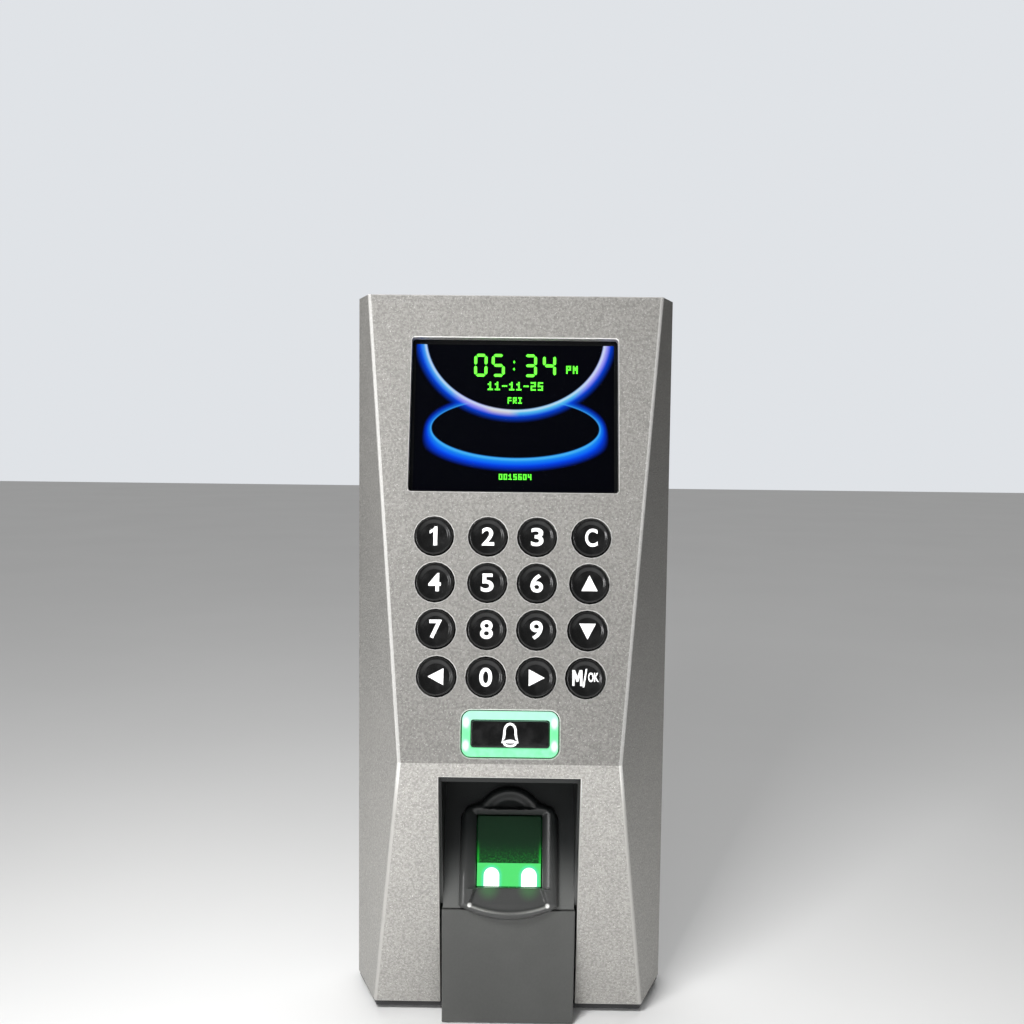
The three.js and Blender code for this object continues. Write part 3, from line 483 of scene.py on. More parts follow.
def piece(name, mesh, base, body, material, stands_for=()):
    """A finished object in its place, riding on its body."""
    made = linked(name, mesh)
    made.matrix_world = base
    mesh.materials.clear()
    mesh.materials.append(material)
    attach(made, body)
    if stands_for:
        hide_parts(*stands_for)
    return made


def loft(loops, closed=False, capped=True):
    """Quads between neighbouring loops of points; closed joins the last loop to the first."""
    made = bmesh.new()
    rings = [[made.verts.new(point) for point in loop] for loop in loops]
    followers = rings[1:] + rings[:1] if closed else rings[1:]
    for near, far in zip(rings, followers):
        for i in range(len(near)):
            j = (i + 1) % len(near)
            made.faces.new((near[i], near[j], far[j], far[i]))
    if capped and not closed:
        made.faces.new(rings[0])
        made.faces.new(rings[-1])
    return made


def lathe(profile, sides=48):
    """A turned piece about z from (radius, height) pairs; the ends at radius 0 close it."""
    round_turns = [2 * math.pi * side / sides for side in range(sides)]
    made = loft([[(radius * math.cos(turn), radius * math.sin(turn), height) for turn in round_turns]
                 for radius, height in profile if radius > 0], capped=False)
    made.verts.ensure_lookup_table()
    ends = made.verts[:sides], made.verts[-sides:]
    for ring, (_, height) in zip(ends, (profile[0], profile[-1])):
        tip = made.verts.new((0, 0, height))
        for side in range(sides):
            made.faces.new((ring[side], ring[(side + 1) % sides], tip))
    return made


def rounded_loop(width, height, corner, z, steps=6):
    """Points round a rounded rectangle at one height."""
    points = []
    for quarter, (side, end) in enumerate(((1, 1), (-1, 1), (-1, -1), (1, -1))):
        for step in range(steps + 1):
            turn = (quarter + step / steps) * math.pi / 2
            points.append((side * (width / 2 - corner) + corner * math.cos(turn),
                           end * (height / 2 - corner) + corner * math.sin(turn), z))
    return points


def prism(outline, low, high):
    """A flat outline of (x, y) points given a thickness."""
    return loft([[(x, y, z) for x, y in outline] for z in (low, high)])


def joined(parts):
    """Several bmeshes as one."""
    whole = bmesh.new()
    for part in parts:
        mesh = bpy.data.meshes.new("part")
        part.to_mesh(mesh)
        part.free()
        whole.from_mesh(mesh)
        bpy.data.meshes.remove(mesh)
    return whole


# ---------------------------------------------------------------- softened shells
FLAT_ANGLE = math.radians(1.0)
EDGE_ANGLE = math.radians(30.0)
WELD = 0.002 * MM


def is_outer(face, corners):
    """True for a face whose plane has the whole shell on or behind it."""
    origin = face.verts[0].co
    return all(face.normal.dot(corner - origin) < TOUCH for corner in corners)


def softened(node, edge, rim, finish, edge_finish):
    """A copy of a CAD node with rounded edges.

    An edge between two outer faces that runs upwards is rounded by edge, and every other one by
    rim. Edges inside the shell stay sharp.
    """
    made = bmesh.new()
    made.from_mesh(NODES[node].data)
    bmesh.ops.remove_doubles(made, verts=made.verts, dist=WELD)
    bmesh.ops.dissolve_limit(made, angle_limit=FLAT_ANGLE, verts=made.verts, edges=made.edges)
    made.normal_update()
    corners = [vertex.co.copy() for vertex in made.verts]
    outer = {face for face in made.faces if is_outer(face, corners)}
    weight = made.edges.layers.float.new("bevel_weight_edge")
    widest = max(edge, rim)
    for bend in made.edges:
        if len(bend.link_faces) == 2 and bend.calc_face_angle_signed(0.0) > EDGE_ANGLE:
            count = sum(face in outer for face in bend.link_faces)
            along = (bend.verts[1].co - bend.verts[0].co).normalized()
            upright = abs(along.z) > 0.5
            bend[weight] = (0.0, rim, edge if upright else rim)[count] / widest
    mesh = bpy.data.meshes.new(node)
    made.to_mesh(mesh)
    made.free()
    shell = piece(node + "_shell", mesh, Matrix.Identity(4), BODY_OF[node], SURFACES[finish],
                  [node])
    mesh.materials.append(SURFACES[edge_finish])
    rounding = shell.modifiers.new("rounding", "BEVEL")
    rounding.limit_method = "WEIGHT"
    rounding.width = widest
    rounding.segments = 3
    rounding.use_clamp_overlap = False
    rounding.loop_slide = False
    rounding.material = 1
    facets = shell.modifiers.new("facets", "TRIANGULATE")
    facets.ngon_method = "BEAUTY"
    facets.min_vertices = 5


for name, edge, rim, finish, edge_finish in (
    # The front case's edge finish is a painted highlight.
    ("front_case", 0.65 * MM, 0.22 * MM, "silver_paint", "silver_edge_highlight"),
    ("rear_tub", 0.4 * MM, 0.15 * MM, "black_plastic", "black_plastic"),
    ("wall_plate", 0.15 * MM, 0.15 * MM, "plate_zinc", "plate_zinc"),
    ("chin_cover", 0.35 * MM, 0.15 * MM, "chin_plastic", "chin_plastic"),
    ("sensor_shroud", 0.2 * MM, 0.15 * MM, "recess_walls", "recess_walls"),
):
    softened(name, edge, rim, finish, edge_finish)


# ---------------------------------------------------------------- keys
DISH_FLOOR = 3.05 * MM  # the radius of the dish's flat middle
DISH_DEPTH = 0.5 * MM
RIM_ROLL = 0.42 * MM
SKIRT_REACH = 0.6 * MM
SKIRT_FOOT, SKIRT_TOP = 1.1 * MM, 1.9 * MM
STEM_RADIUS = 1.6 * MM
PRINT_THICKNESS = 0.03 * MM
LEGEND_HEIGHT, LEGEND_WIDTH, LEGEND_BOLD = 4.4 * MM, 3.0 * MM, 0.09 * MM
ONE = [(0.8, -2.3), (0.8, 2.3), (0.15, 2.3), (-0.2, 1.75), (-1.05, 1.3), (-1.05, 0.55),
       (-0.1, 1.05), (-0.1, -2.3)]  # millimetres, as in M_LETTER and ARROW
M_LETTER = [(-1.2, -1.85), (-1.2, 1.85), (-0.55, 1.85), (0, 0.35), (0.55, 1.85), (1.2, 1.85),
            (1.2, -1.85), (0.65, -1.85), (0.65, 0.5), (0.2, -0.9), (-0.2, -0.9), (-0.65, 0.5),
            (-0.65, -1.85)]
ARROW = [(2.05, 0.0), (-1.7, 1.95), (-1.7, -1.95)]
ARROW_ANGLES = {"key_up": 90, "key_down": -90, "key_left": 180, "key_right": 0}


def dish(radius, crest):
    """How deep a key's dish lies at this distance from its middle."""
    return DISH_DEPTH * smooth(radius, crest, DISH_FLOOR)


def key_profile(low, high, skirt_radius, crest):
    """Stem, skirt, wall, a rolled rim and a dished top, as (radius, height) pairs."""
    foot, top = low + SKIRT_FOOT, low + SKIRT_TOP
    profile = [(0, low), (STEM_RADIUS, low), (STEM_RADIUS, foot), (skirt_radius, foot),
               (skirt_radius, top), (crest + RIM_ROLL, top)]
    profile += [(crest + RIM_ROLL * math.cos(turn), high - RIM_ROLL + RIM_ROLL * math.sin(turn))
                for turn in turns(0, 91, 15)]
    slope_steps = 8
    for step in range(1, slope_steps + 1):
        reach = crest - (crest - DISH_FLOOR) * step / slope_steps
        profile.append((reach, high - dish(reach, crest)))
    profile += [(1.2 * MM, high - DISH_DEPTH - 0.04 * MM), (0, high - DISH_DEPTH - 0.05 * MM)]
    return profile


def text_mesh(text, height, width, bold):
    """Flat lettering centred on the origin, fitted to a height and a width."""
    curve = bpy.data.curves.new("lettering", "FONT")
    curve.body = text
    curve.size = height
    curve.extrude = PRINT_THICKNESS / 2
    curve.offset = bold
    holder = linked("lettering", curve)
    mesh = evaluated_mesh(holder)
    bpy.data.objects.remove(holder)
    points = [vertex.co for vertex in mesh.vertices]
    lows, highs = ([pick(point[i] for point in points) for i in (0, 1)] for pick in (min, max))
    fit = Matrix.Diagonal((width / (highs[0] - lows[0]), height / (highs[1] - lows[1]), 1, 1))
    middle = ((lows[0] + highs[0]) / 2, (lows[1] + highs[1]) / 2)
    mesh.transform(fit @ Matrix.Translation((-middle[0], -middle[1], 0)))
    return mesh


def sign_mesh(outline, angle=0):
    """A flat printed sign from its corners in millimetres, turned by whole degrees."""
    turn = math.radians(angle)
    corners = [((x * math.cos(turn) - y * math.sin(turn)) * MM,
                (x * math.sin(turn) + y * math.cos(turn)) * MM) for x, y in outline]
    return finish_mesh(prism(corners, -PRINT_THICKNESS / 2, PRINT_THICKNESS / 2))


def menu_mesh():
    """The menu key's three signs: a tall M, a stroke and a small OK."""
    signs = [(sign_mesh(M_LETTER), -1.95, 0.1),
             (text_mesh("/", 4.3 * MM, 1.1 * MM, 0.09 * MM), -0.15, 0.1),
             (text_mesh("OK", 2.2 * MM, 2.5 * MM, 0.06 * MM), 1.85, 0.3)]
    whole = bmesh.new()
    for mesh, x, y in signs:
        mesh.transform(Matrix.Translation((x * MM, y * MM, 0)))
        whole.from_mesh(mesh)
    return finish_mesh(whole)


def legend_mesh(node):
    """What is printed on a key; the nine is a six turned round."""
    if node in ARROW_ANGLES:
        return sign_mesh(ARROW, ARROW_ANGLES[node])
    if node == "key_ok":
        return menu_mesh()
    if node == "key_1":
        return sign_mesh(ONE)
    text = {"key_clear": "C", "key_9": "6"}.get(node, node[-1])
    mesh = text_mesh(text, LEGEND_HEIGHT, LEGEND_WIDTH, LEGEND_BOLD)
    if node == "key_9":
        mesh.transform(Matrix.Rotation(math.pi, 4, "Z"))
    return mesh


for node in sorted(node for node in NODES if node.startswith("key_")):
    low, high = spread(node, FACE)
    base = moved(FACE, (low.x + high.x) / 2, (low.y + high.y) / 2)
    skirt_radius = (high.y - low.y) / 2
    crest = skirt_radius - SKIRT_REACH - RIM_ROLL
    profile = key_profile(low.z, high.z, skirt_radius, crest)
    piece(node + "_cap", finish_mesh(lathe(profile), 35), base, BODY_OF[node],
          SURFACES["key_plastic"], [node])
    legend = legend_mesh(node)
    for vertex in legend.vertices:
        vertex.co.z -= dish(math.hypot(vertex.co.x, vertex.co.y), crest)
    piece(node + "_legend", legend, moved(base, z=high.z + PRINT_THICKNESS), BODY_OF[node],
          SURFACES["legend"])


# ---------------------------------------------------------------- bell key and its light ring
def button_loops(width, height, corner, low, high, roll):
    """Loops of a rounded slab whose top edge rolls over."""
    loops = [rounded_loop(width, height, corner, low)]
    for turn in turns(0, 91, 30):
        inwards = roll * (1 - math.cos(turn))
        loops.append(rounded_loop(width - 2 * inwards, height - 2 * inwards, corner - inwards,
                                  high - roll + roll * math.sin(turn)))
    return loops


bell_low, bell_high = spread("bell_key", FACE)
ring_low, ring_high = spread("light_ring", FACE)
RING = moved(FACE, y=(ring_low.y + ring_high.y) / 2)
RING_FLANGE = 2.4 * MM
BELL_SKIRT = 2.0 * MM
RING_GAP = 0.3 * MM
ring_width = ring_high.x - ring_low.x - RING_FLANGE
ring_height = ring_high.y - ring_low.y - RING_FLANGE
bell_width = bell_high.x - bell_low.x - BELL_SKIRT
bell_height = bell_high.y - bell_low.y - BELL_SKIRT
RING_CORNER = 2.0 * MM
BELL_CORNER = 0.8 * MM

outside = button_loops(ring_width, ring_height, RING_CORNER, ring_low.z, ring_high.z, 0.3 * MM)
inside = button_loops(bell_width + 2 * RING_GAP, bell_height + 2 * RING_GAP, BELL_CORNER,
                      ring_low.z, ring_high.z, 0.0)
piece("light_ring_guide", finish_mesh(loft(outside + inside[-1:] + inside[:1], closed=True), 40),
      RING, TERMINAL, lit_ring(ring_width / 2 - 0.95 * MM, ring_height / 2 - 2.6 * MM),
      ["light_ring"])
bell_cap = button_loops(bell_width, bell_height, BELL_CORNER, bell_low.z, bell_high.z, 0.25 * MM)
piece("bell_key_cap", finish_mesh(loft(bell_cap), 40), RING, BODY_OF["bell_key"],
      SURFACES["key_plastic"], ["bell_key"])

# Half of a bell from its crown down to its mouth, in units of BELL_SCALE.
BELL_HALF = [(0.0, 2.1), (0.5, 1.95), (0.85, 1.55), (1.0, 1.0), (1.02, 0.2), (1.15, -0.5),
             (1.5, -1.1)]
BELL_SCALE = 1.3 * MM


def stroke(points, width, low, high):
    """A flat line of even width along (x, y) points, closed on itself."""
    loops = [[], []]
    count = len(points)
    for i, (x, y) in enumerate(points):
        before, after = Vector(points[i - 1]), Vector(points[(i + 1) % count])
        along = (after - before).normalized()
        across = Vector((-along.y, along.x)) * width / 2
        loops[0].append((x + across.x, y + across.y))
        loops[1].append((x - across.x, y - across.y))
    rings = [[(x, y, z) for x, y in loops[side]]
             for side, z in ((0, low), (0, high), (1, high), (1, low))]
    return loft(rings, closed=True)


def bell_icon():
    """A bell's outline with its mouth drawn as an ellipse."""
    right = [(x * BELL_SCALE, y * BELL_SCALE) for x, y in BELL_HALF]
    left = [(-x, y) for x, y in reversed(right[1:])]
    body = stroke(right + left, 0.55 * MM, 0, PRINT_THICKNESS)
    mouth = [(1.35 * MM * math.cos(turn), -1.75 * MM + 0.6 * MM * math.sin(turn))
             for turn in turns(0, 360, 20)]
    return finish_mesh(joined([body, stroke(mouth, 0.5 * MM, 0, PRINT_THICKNESS)]))


piece("bell_legend", bell_icon(), moved(RING, y=-0.3 * MM, z=bell_high.z + 0.005 * MM),
      BODY_OF["bell_key"], SURFACES["legend"])


# ---------------------------------------------------------------- display
lens_low, lens_high = spread("display_lens", FACE)
DISPLAY = moved(FACE, y=(lens_low.y + lens_high.y) / 2)
LENS_FLANGE = 2.0 * MM
window_width = lens_high.x - lens_low.x - 2 * LENS_FLANGE
window_height = lens_high.y - lens_low.y - 2 * LENS_FLANGE
LIT_MARGIN = 0.8 * MM
SCREEN_GAP = 0.12 * MM
LCD_GREEN = (0.09, 0.85, 0.03)


def ellipse_distance(across, up, half_width, half_height):
    """How far a point lies outside an ellipse, negative inside it."""
    x = across / half_width
    y = up / half_height
    reach = distance(x, y)
    slope = distance(x / half_width, y / half_height)
    return (reach - 1.0) * reach / slope.most(1.0)


def screen_picture():
    """Two glowing arcs on black: a bowl hanging from the top and a flat ring below it."""
    lcd = Finish("screen_picture", (0.0004, 0.0004, 0.0006), 0.4, Emission_Strength=1.0,
                 Specular_IOR_Level=0.05)
    across = lcd.axis("X")
    up = lcd.axis("Y")
    bowl = ellipse_distance(across, up - 21.0 * MM, 22.6 * MM, 19.2 * MM)
    ring = ellipse_distance(across - 0.3 * MM, up + 2.9 * MM, 21.0 * MM, 7.6 * MM)
    ring = ring * up.ramp(-9.0 * MM, 1.0 * MM, 1.0, 2.0)
    outside_bowl = bowl.ramp(-0.35 * MM, 0.25 * MM)
    bowl_glow = outside_bowl * bowl.fade(0.9 * MM, 3.4 * MM)
    bowl_core = outside_bowl * bowl.fade(0.3 * MM, 1.9 * MM)
    low_side = up.ramp(-9.0 * MM, 3.0 * MM, 1.0, 0.45)
    ring_edge = ring.ramp(-0.3 * MM, 0.3 * MM) * outside_bowl * low_side
    ring_glow = ring_edge * ring.fade(1.4 * MM, 3.6 * MM)
    ring_core = ring_edge * ring.fade(0.3 * MM, 2.2 * MM)
    ring_rim = ring_edge * ring.ramp(0.1 * MM, 0.9 * MM, 0.75, 0.0)
    bowl_rim = outside_bowl * bowl.ramp(0.0, 0.8 * MM, 0.8, 0.0)
    along = lcd.node("ShaderNodeValToRGB", {"stops": [
        (0.0, (0.06, 0.4, 1.0)), (0.15, (0.12, 0.55, 1.0)), (0.21, (0.45, 0.42, 1.0)),
        (0.33, (0.5, 0.45, 1.0)), (0.38, (0.75, 0.65, 0.7)), (0.47, (0.7, 0.68, 0.75)),
        (0.53, (0.1, 0.6, 0.95)), (0.82, (0.12, 0.65, 0.95)), (0.9, (0.5, 0.47, 1.0)),
        (1.0, (0.5, 0.47, 1.0)),
    ]}, {"Fac": across / (46.0 * MM) + 0.5})
    colour = lcd.mix(bowl_glow, (0.0, 0.0, 0.001), (0.0, 0.07, 0.9))
    colour = lcd.mix(ring_glow, colour, (0.0, 0.06, 1.0))
    colour = lcd.mix(ring_core, colour, (0.01, 0.3, 1.0))
    colour = lcd.mix(ring_rim, colour, (0.1, 0.62, 1.0))
    colour = lcd.mix(bowl_core, colour, along)
    lcd.shade({"Emission Color": lcd.mix(bowl_rim, colour, (0.75, 0.9, 1.0))})
    return lcd.material


# Seven segments of a unit digit: the two ends of each, in half widths and half heights.
SEGMENTS = {"a": ((-1, 1), (1, 1)), "b": ((1, 1), (1, 0)), "c": ((1, 0), (1, -1)),
            "d": ((-1, -1), (1, -1)), "e": ((-1, 0), (-1, -1)), "f": ((-1, 1), (-1, 0)),
            "g": ((-1, 0), (1, 0))}
LIT_SEGMENTS = {"0": "abcdef", "5": "afgcd", "3": "abgcd", "4": "fgbc"}
LIT_THICKNESS = 0.02 * MM


def bar(start, end, width):
    """One segment: a flat six-cornered bar that stops short of its ends."""
    start, end = Vector(start), Vector(end)
    along = (end - start).normalized()
    across = Vector((-along.y, along.x)) * width / 2
    near, far = start + along * width * 0.22, end - along * width * 0.22
    inset = along * width / 2
    outline = [near, near + inset + across, far - inset + across, far, far - inset - across,
               near + inset - across]
    return prism([tuple(point) for point in outline], 0, LIT_THICKNESS)


def clock_digits(text, centres, middle, half_width, half_height, width):
    """Seven-segment figures; a colon is two short bars."""
    parts = []
    for character, x in zip(text, centres):
        if character == ":":
            ends = [[(x + side * width * 0.6, middle + y) for side in (-1, 1)]
                    for y in (-0.36 * half_height, 0.36 * half_height)]
        else:
            ends = [[(x + side * half_width, middle + end * half_height)
                     for side, end in SEGMENTS[segment]] for segment in LIT_SEGMENTS[character]]
        parts += [bar(start, end, width) for start, end in ends]
    return parts


# Five rows of three dots each, from the top; a row is a digit whose bits are its dots.
DOTS = {"0": "75557", "1": "26227", "2": "71747", "4": "55711", "5": "74717", "6": "74757",
        "-": "00700", "P": "75744", "M": "57755", "F": "74744", "R": "75765", "I": "72227"}


def dotted(text, middle_x, middle_y, height):
    """Small lettering from square dots, three across and five high."""
    dot = height / 5
    lit = 0.84 * dot
    pitch = 4 * dot
    left = middle_x - (len(text) * pitch - dot) / 2
    parts = []
    for place, character in enumerate(text):
        for row, bits in enumerate(DOTS[character]):
            for column in range(3):
                if int(bits) & (4 >> column):
                    x = left + place * pitch + column * dot
                    y = middle_y + height / 2 - row * dot
                    corners = [(x, y), (x + lit, y), (x + lit, y - lit), (x, y - lit)]
                    parts.append(prism(corners, 0, LIT_THICKNESS))
    return parts


screen = moved(DISPLAY, z=lens_low.z - SCREEN_GAP)
for name, margin, corner, low, high, finish in (
    ("screen_panel", LENS_FLANGE, 0.6 * MM, -0.15 * MM, -0.05 * MM, SURFACES["panel_black"]),
    ("screen_image", -2 * LIT_MARGIN, 0.2 * MM, -0.045 * MM, 0.0, screen_picture()),
):
    slab = loft([rounded_loop(window_width + margin, window_height + margin, corner, z)
                 for z in (low, high)])
    piece(name, finish_mesh(slab), screen, TERMINAL, finish)
CLOCK_CENTRES = [x * MM for x in (-8.6, -4.2, -0.2, 3.9, 8.7)]
digits = clock_digits("05:34", CLOCK_CENTRES, 13.4 * MM, 1.3 * MM, 2.6 * MM, 0.72 * MM)
for text, x, y, height in (("PM", 14.4, 12.4, 2.1), ("11-11-25", 0.2, 8.0, 2.25),
                           ("FRI", 0.1, 4.3, 1.65), ("0015604", 0.4, -15.2, 1.5)):
    digits += dotted(text, x * MM, y * MM, height * MM)
piece("screen_digits", finish_mesh(joined(digits)), moved(screen, z=0.01 * MM), TERMINAL,
      glow("lit_digit", LCD_GREEN, 1.0, (0.12, 0.92, 0.05)))

lens = loft([rounded_loop(window_width + 2 * LENS_FLANGE, window_height + 2 * LENS_FLANGE, 1 * MM, z)
             for z in (lens_low.z, lens_low.z + 0.8 * MM)]
            + button_loops(window_width, window_height, 0.8 * MM, lens_low.z + 0.8 * MM, lens_high.z,
                           0.15 * MM))
piece("display_window", finish_mesh(lens, 30), DISPLAY, TERMINAL, SURFACES["display_glass"],
      ["display_lens"])


# ---------------------------------------------------------------- finger guide
WINDOW_HALF = 8.3 * MM
WINDOW_TOP, WINDOW_FOOT = 7.1 * MM, 24.5 * MM  # down the floor, from the guide's top
ARCH_HALF, ARCH_RISE = 7.3 * MM, 3.8 * MM
WING_HALF, WING_RUN = 11.0 * MM, 5.2 * MM
SHOULDER_RUN = 8.2 * MM
LIP_RISE = 3.2 * MM
SCOOP_HALF, SCOOP_RUN, SCOOP_RISE = 9.6 * MM, 28.3 * MM, 1.7 * MM
ROLL = 1.9 * MM
FOOT_GAP = 0.3 * MM
guide_spread = spread("finger_guide", FLOOR)
GUIDE_HALF = guide_spread[1].x
GUIDE_RUN = guide_spread[1].y - guide_spread[0].y


def arc_drop(x, half, rise):
    """How far an arc over half to either side has fallen from its crown at x."""
    radius = arc_radius(half, rise)
    return radius - math.sqrt(max(radius * radius - x * x, 0.0))


def guide_top(x):
    """Where the guide begins, down the floor: the arch, then the wings and shoulders."""
    side = abs(x)
    if side <= ARCH_HALF:
        return arc_drop(side, ARCH_HALF, ARCH_RISE)
    if side <= WING_HALF:
        return ARCH_RISE + (WING_RUN - ARCH_RISE) * (side - ARCH_HALF) / (WING_HALF - ARCH_HALF)
    return WING_RUN + (SHOULDER_RUN - WING_RUN) * (side - WING_HALF) / (GUIDE_HALF - WING_HALF)


def guide_foot(x):
    """Where it ends: a shallow arc."""
    return GUIDE_RUN - arc_drop(abs(x), GUIDE_HALF, LIP_RISE)


def guide_height(x, run):
    """Height of the guide's surface over the recess floor."""
    side = abs(x)
    out = max(side - WINDOW_HALF, WINDOW_TOP - run, run - WINDOW_FOOT)
    frame_slope = math.sin(math.pi / 2 * share_of(out, 0.0, 2.6 * MM))
    height = min(GUIDE_RISE, 1.15 * MM + 1.65 * MM * frame_slope)
    if run < WINDOW_TOP and side < ARCH_HALF:
        arch_radius = arc_radius(ARCH_HALF, ARCH_RISE)
        from_arch = arch_radius - math.hypot(x, run - arch_radius)
        bowl = 1.0 * MM + 1.5 * MM * (1 - smooth(from_arch, 0.9 * MM, 3.6 * MM))
        lip = smooth(run, WINDOW_TOP - 2.0 * MM, WINDOW_TOP - 1.1 * MM)
        height = min(height, bowl + (GUIDE_RISE - bowl) * lip)
    if run > WINDOW_FOOT:
        share = share_of(run, WINDOW_FOOT, SCOOP_RUN)
        scoop_half = WINDOW_HALF + (SCOOP_HALF - WINDOW_HALF) * share
        scoop_foot = SCOOP_RUN + SCOOP_RISE - arc_drop(min(side, SCOOP_HALF), SCOOP_HALF, SCOOP_RISE)
        beyond = max(side - scoop_half, run - scoop_foot)
        floor = 0.75 * MM + 0.9 * MM * share
        height = floor + (GUIDE_RISE - floor) * smooth(beyond, -0.5 * MM, 0.45 * MM)
    edge = min(GUIDE_HALF - side, run - guide_top(x), guide_foot(x) - run) / ROLL
    roll = math.sqrt(max(1 - (1 - min(edge, 1.0)) ** 2, 0.0))
    return FOOT_GAP + (height - FOOT_GAP) * roll


def guide_mesh(columns=70, rows=(22, 26, 30)):
    """A grid fitted between the guide's top and foot outlines, with the window left open."""
    spaced = {GUIDE_HALF * math.sin(math.pi / 2 * (2 * i / columns - 1)) for i in range(columns + 1)}
    across = sorted(spaced | {-WINDOW_HALF, WINDOW_HALF})
    shares = [(stage, i / count) for stage, count in enumerate(rows) for i in range(count)]
    shares.append((2, 1.0))

    def run_at(x, stage, share):
        stops = (guide_top(x), WINDOW_TOP, WINDOW_FOOT, guide_foot(x))
        top = min(stops[stage], stops[stage + 1])
        return top + (stops[stage + 1] - top) * share

    made = bmesh.new()
    surface, base = [], []
    for stage, share in shares:
        points = [(x, run_at(x, stage, share)) for x in across]
        surface.append([made.verts.new((x, -run, guide_height(x, run))) for x, run in points])
        base.append([made.verts.new((x, -run, FOOT_GAP)) for x, run in points])

    def open_cell(row, column):
        middle = (across[column] + across[column + 1]) / 2
        return shares[row][0] == 1 and abs(middle) < WINDOW_HALF

    cells = {(row, column) for row in range(len(shares) - 1)
             for column in range(len(across) - 1) if not open_cell(row, column)}
    for row, column in cells:
        for grid in (surface, base):
            made.faces.new((grid[row][column], grid[row][column + 1], grid[row + 1][column + 1],
                            grid[row + 1][column]))
        for step, ends in (((-1, 0), ((0, 0), (0, 1))), ((1, 0), ((1, 0), (1, 1))),
                           ((0, -1), ((0, 0), (1, 0))), ((0, 1), ((0, 1), (1, 1)))):
            if (row + step[0], column + step[1]) not in cells:
                (r0, c0), (r1, c1) = [(row + a, column + b) for a, b in ends]
                made.faces.new((surface[r0][c0], surface[r1][c1], base[r1][c1], base[r0][c0]))
    bmesh.ops.remove_doubles(made, verts=made.verts, dist=0.001 * MM)
    return finish_mesh(made, 50)


piece("finger_guide_moulding", guide_mesh(), FLOOR, TERMINAL, guide_plastic(WINDOW_FOOT, 5 * MM),
      ["finger_guide"])


# ---------------------------------------------------------------- fingerprint window
def lit_optics(half_width, band_top, lamp_run, lamp_spread):
    """What shows through the window: a dark prism over a bright strip with two lamps."""
    optics = Finish("lit_optics", (0.004, 0.012, 0.006), 0.3, Emission_Strength=1.0)
    across = optics.axis("X")
    run = 0.0 - optics.axis("Y")
    band = run.above(band_top)
    grain = optics.noise(0.45 * MM, 2.0, 0.7)
    haze = run.ramp(band_top - 6.5 * MM, band_top, 0.0, 1.0) ** 2.2
    speck = haze * grain.ramp(0.42, 0.75)
    dark = optics.mix(haze, (0.004, 0.009, 0.005), (0.006, 0.03, 0.009))
    dark = optics.mix(speck, dark, (0.015, 0.3, 0.03))
    edge = abs(across).ramp(half_width - 0.8 * MM, half_width, 0.0, 0.8)
    edge = edge * run.ramp(band_top - 6 * MM, band_top)
    dark = optics.mix(edge, dark, (0.02, 0.75, 0.05))
    side = abs(across - 0.35 * MM) - lamp_spread
    above_lamp = (run - lamp_run).least(0.0)
    spot = distance(side, above_lamp)
    lit = optics.mix(spot.fade(1.9 * MM, 3.0 * MM), (0.11, 0.92, 0.21), (0.12, 0.98, 0.5))
    lit = optics.mix(spot.fade(1.75 * MM, 2.05 * MM), lit, (2.2, 2.4, 2.2))
    optics.shade({"Emission Color": optics.mix(band, dark, lit)})
    return optics.material


PLATEN = moved(FLOOR, y=-WINDOW_TOP)
GLASS_THICKNESS = 0.9 * MM
CORE_GAP, CORE_DEPTH = 0.05 * MM, 4 * MM
platen_low, platen_high = spread("platen_prism", PLATEN)
platen_half = platen_high.x
glass_foot = platen_high.z - GLASS_THICKNESS
glass = button_loops(2 * platen_half, platen_high.y - platen_low.y, 0.3 * MM, glass_foot,
                     platen_high.z, 0.1 * MM)
glass_base = moved(PLATEN, y=(platen_low.y + platen_high.y) / 2)
piece("platen_window", finish_mesh(loft(glass), 30), glass_base, TERMINAL,
      SURFACES["platen_glass"], ["platen_prism"])
core = prism([(platen_half, platen_low.y), (platen_half, platen_high.y),
              (-platen_half, platen_high.y), (-platen_half, platen_low.y)],
             platen_high.z - CORE_DEPTH, glass_foot - CORE_GAP)
piece("prism_core", finish_mesh(core), PLATEN, TERMINAL,
      lit_optics(platen_half, 11.6 * MM, 14.6 * MM, 4.7 * MM))


# ---------------------------------------------------------------- screws
CROSS_DEPTH = 0.9 * MM
CROSS_BAR = 0.22  # a slot's width and reach, as shares of the head's radius
CROSS_REACH = 0.6
THREAD_PITCH = 0.6 * MM


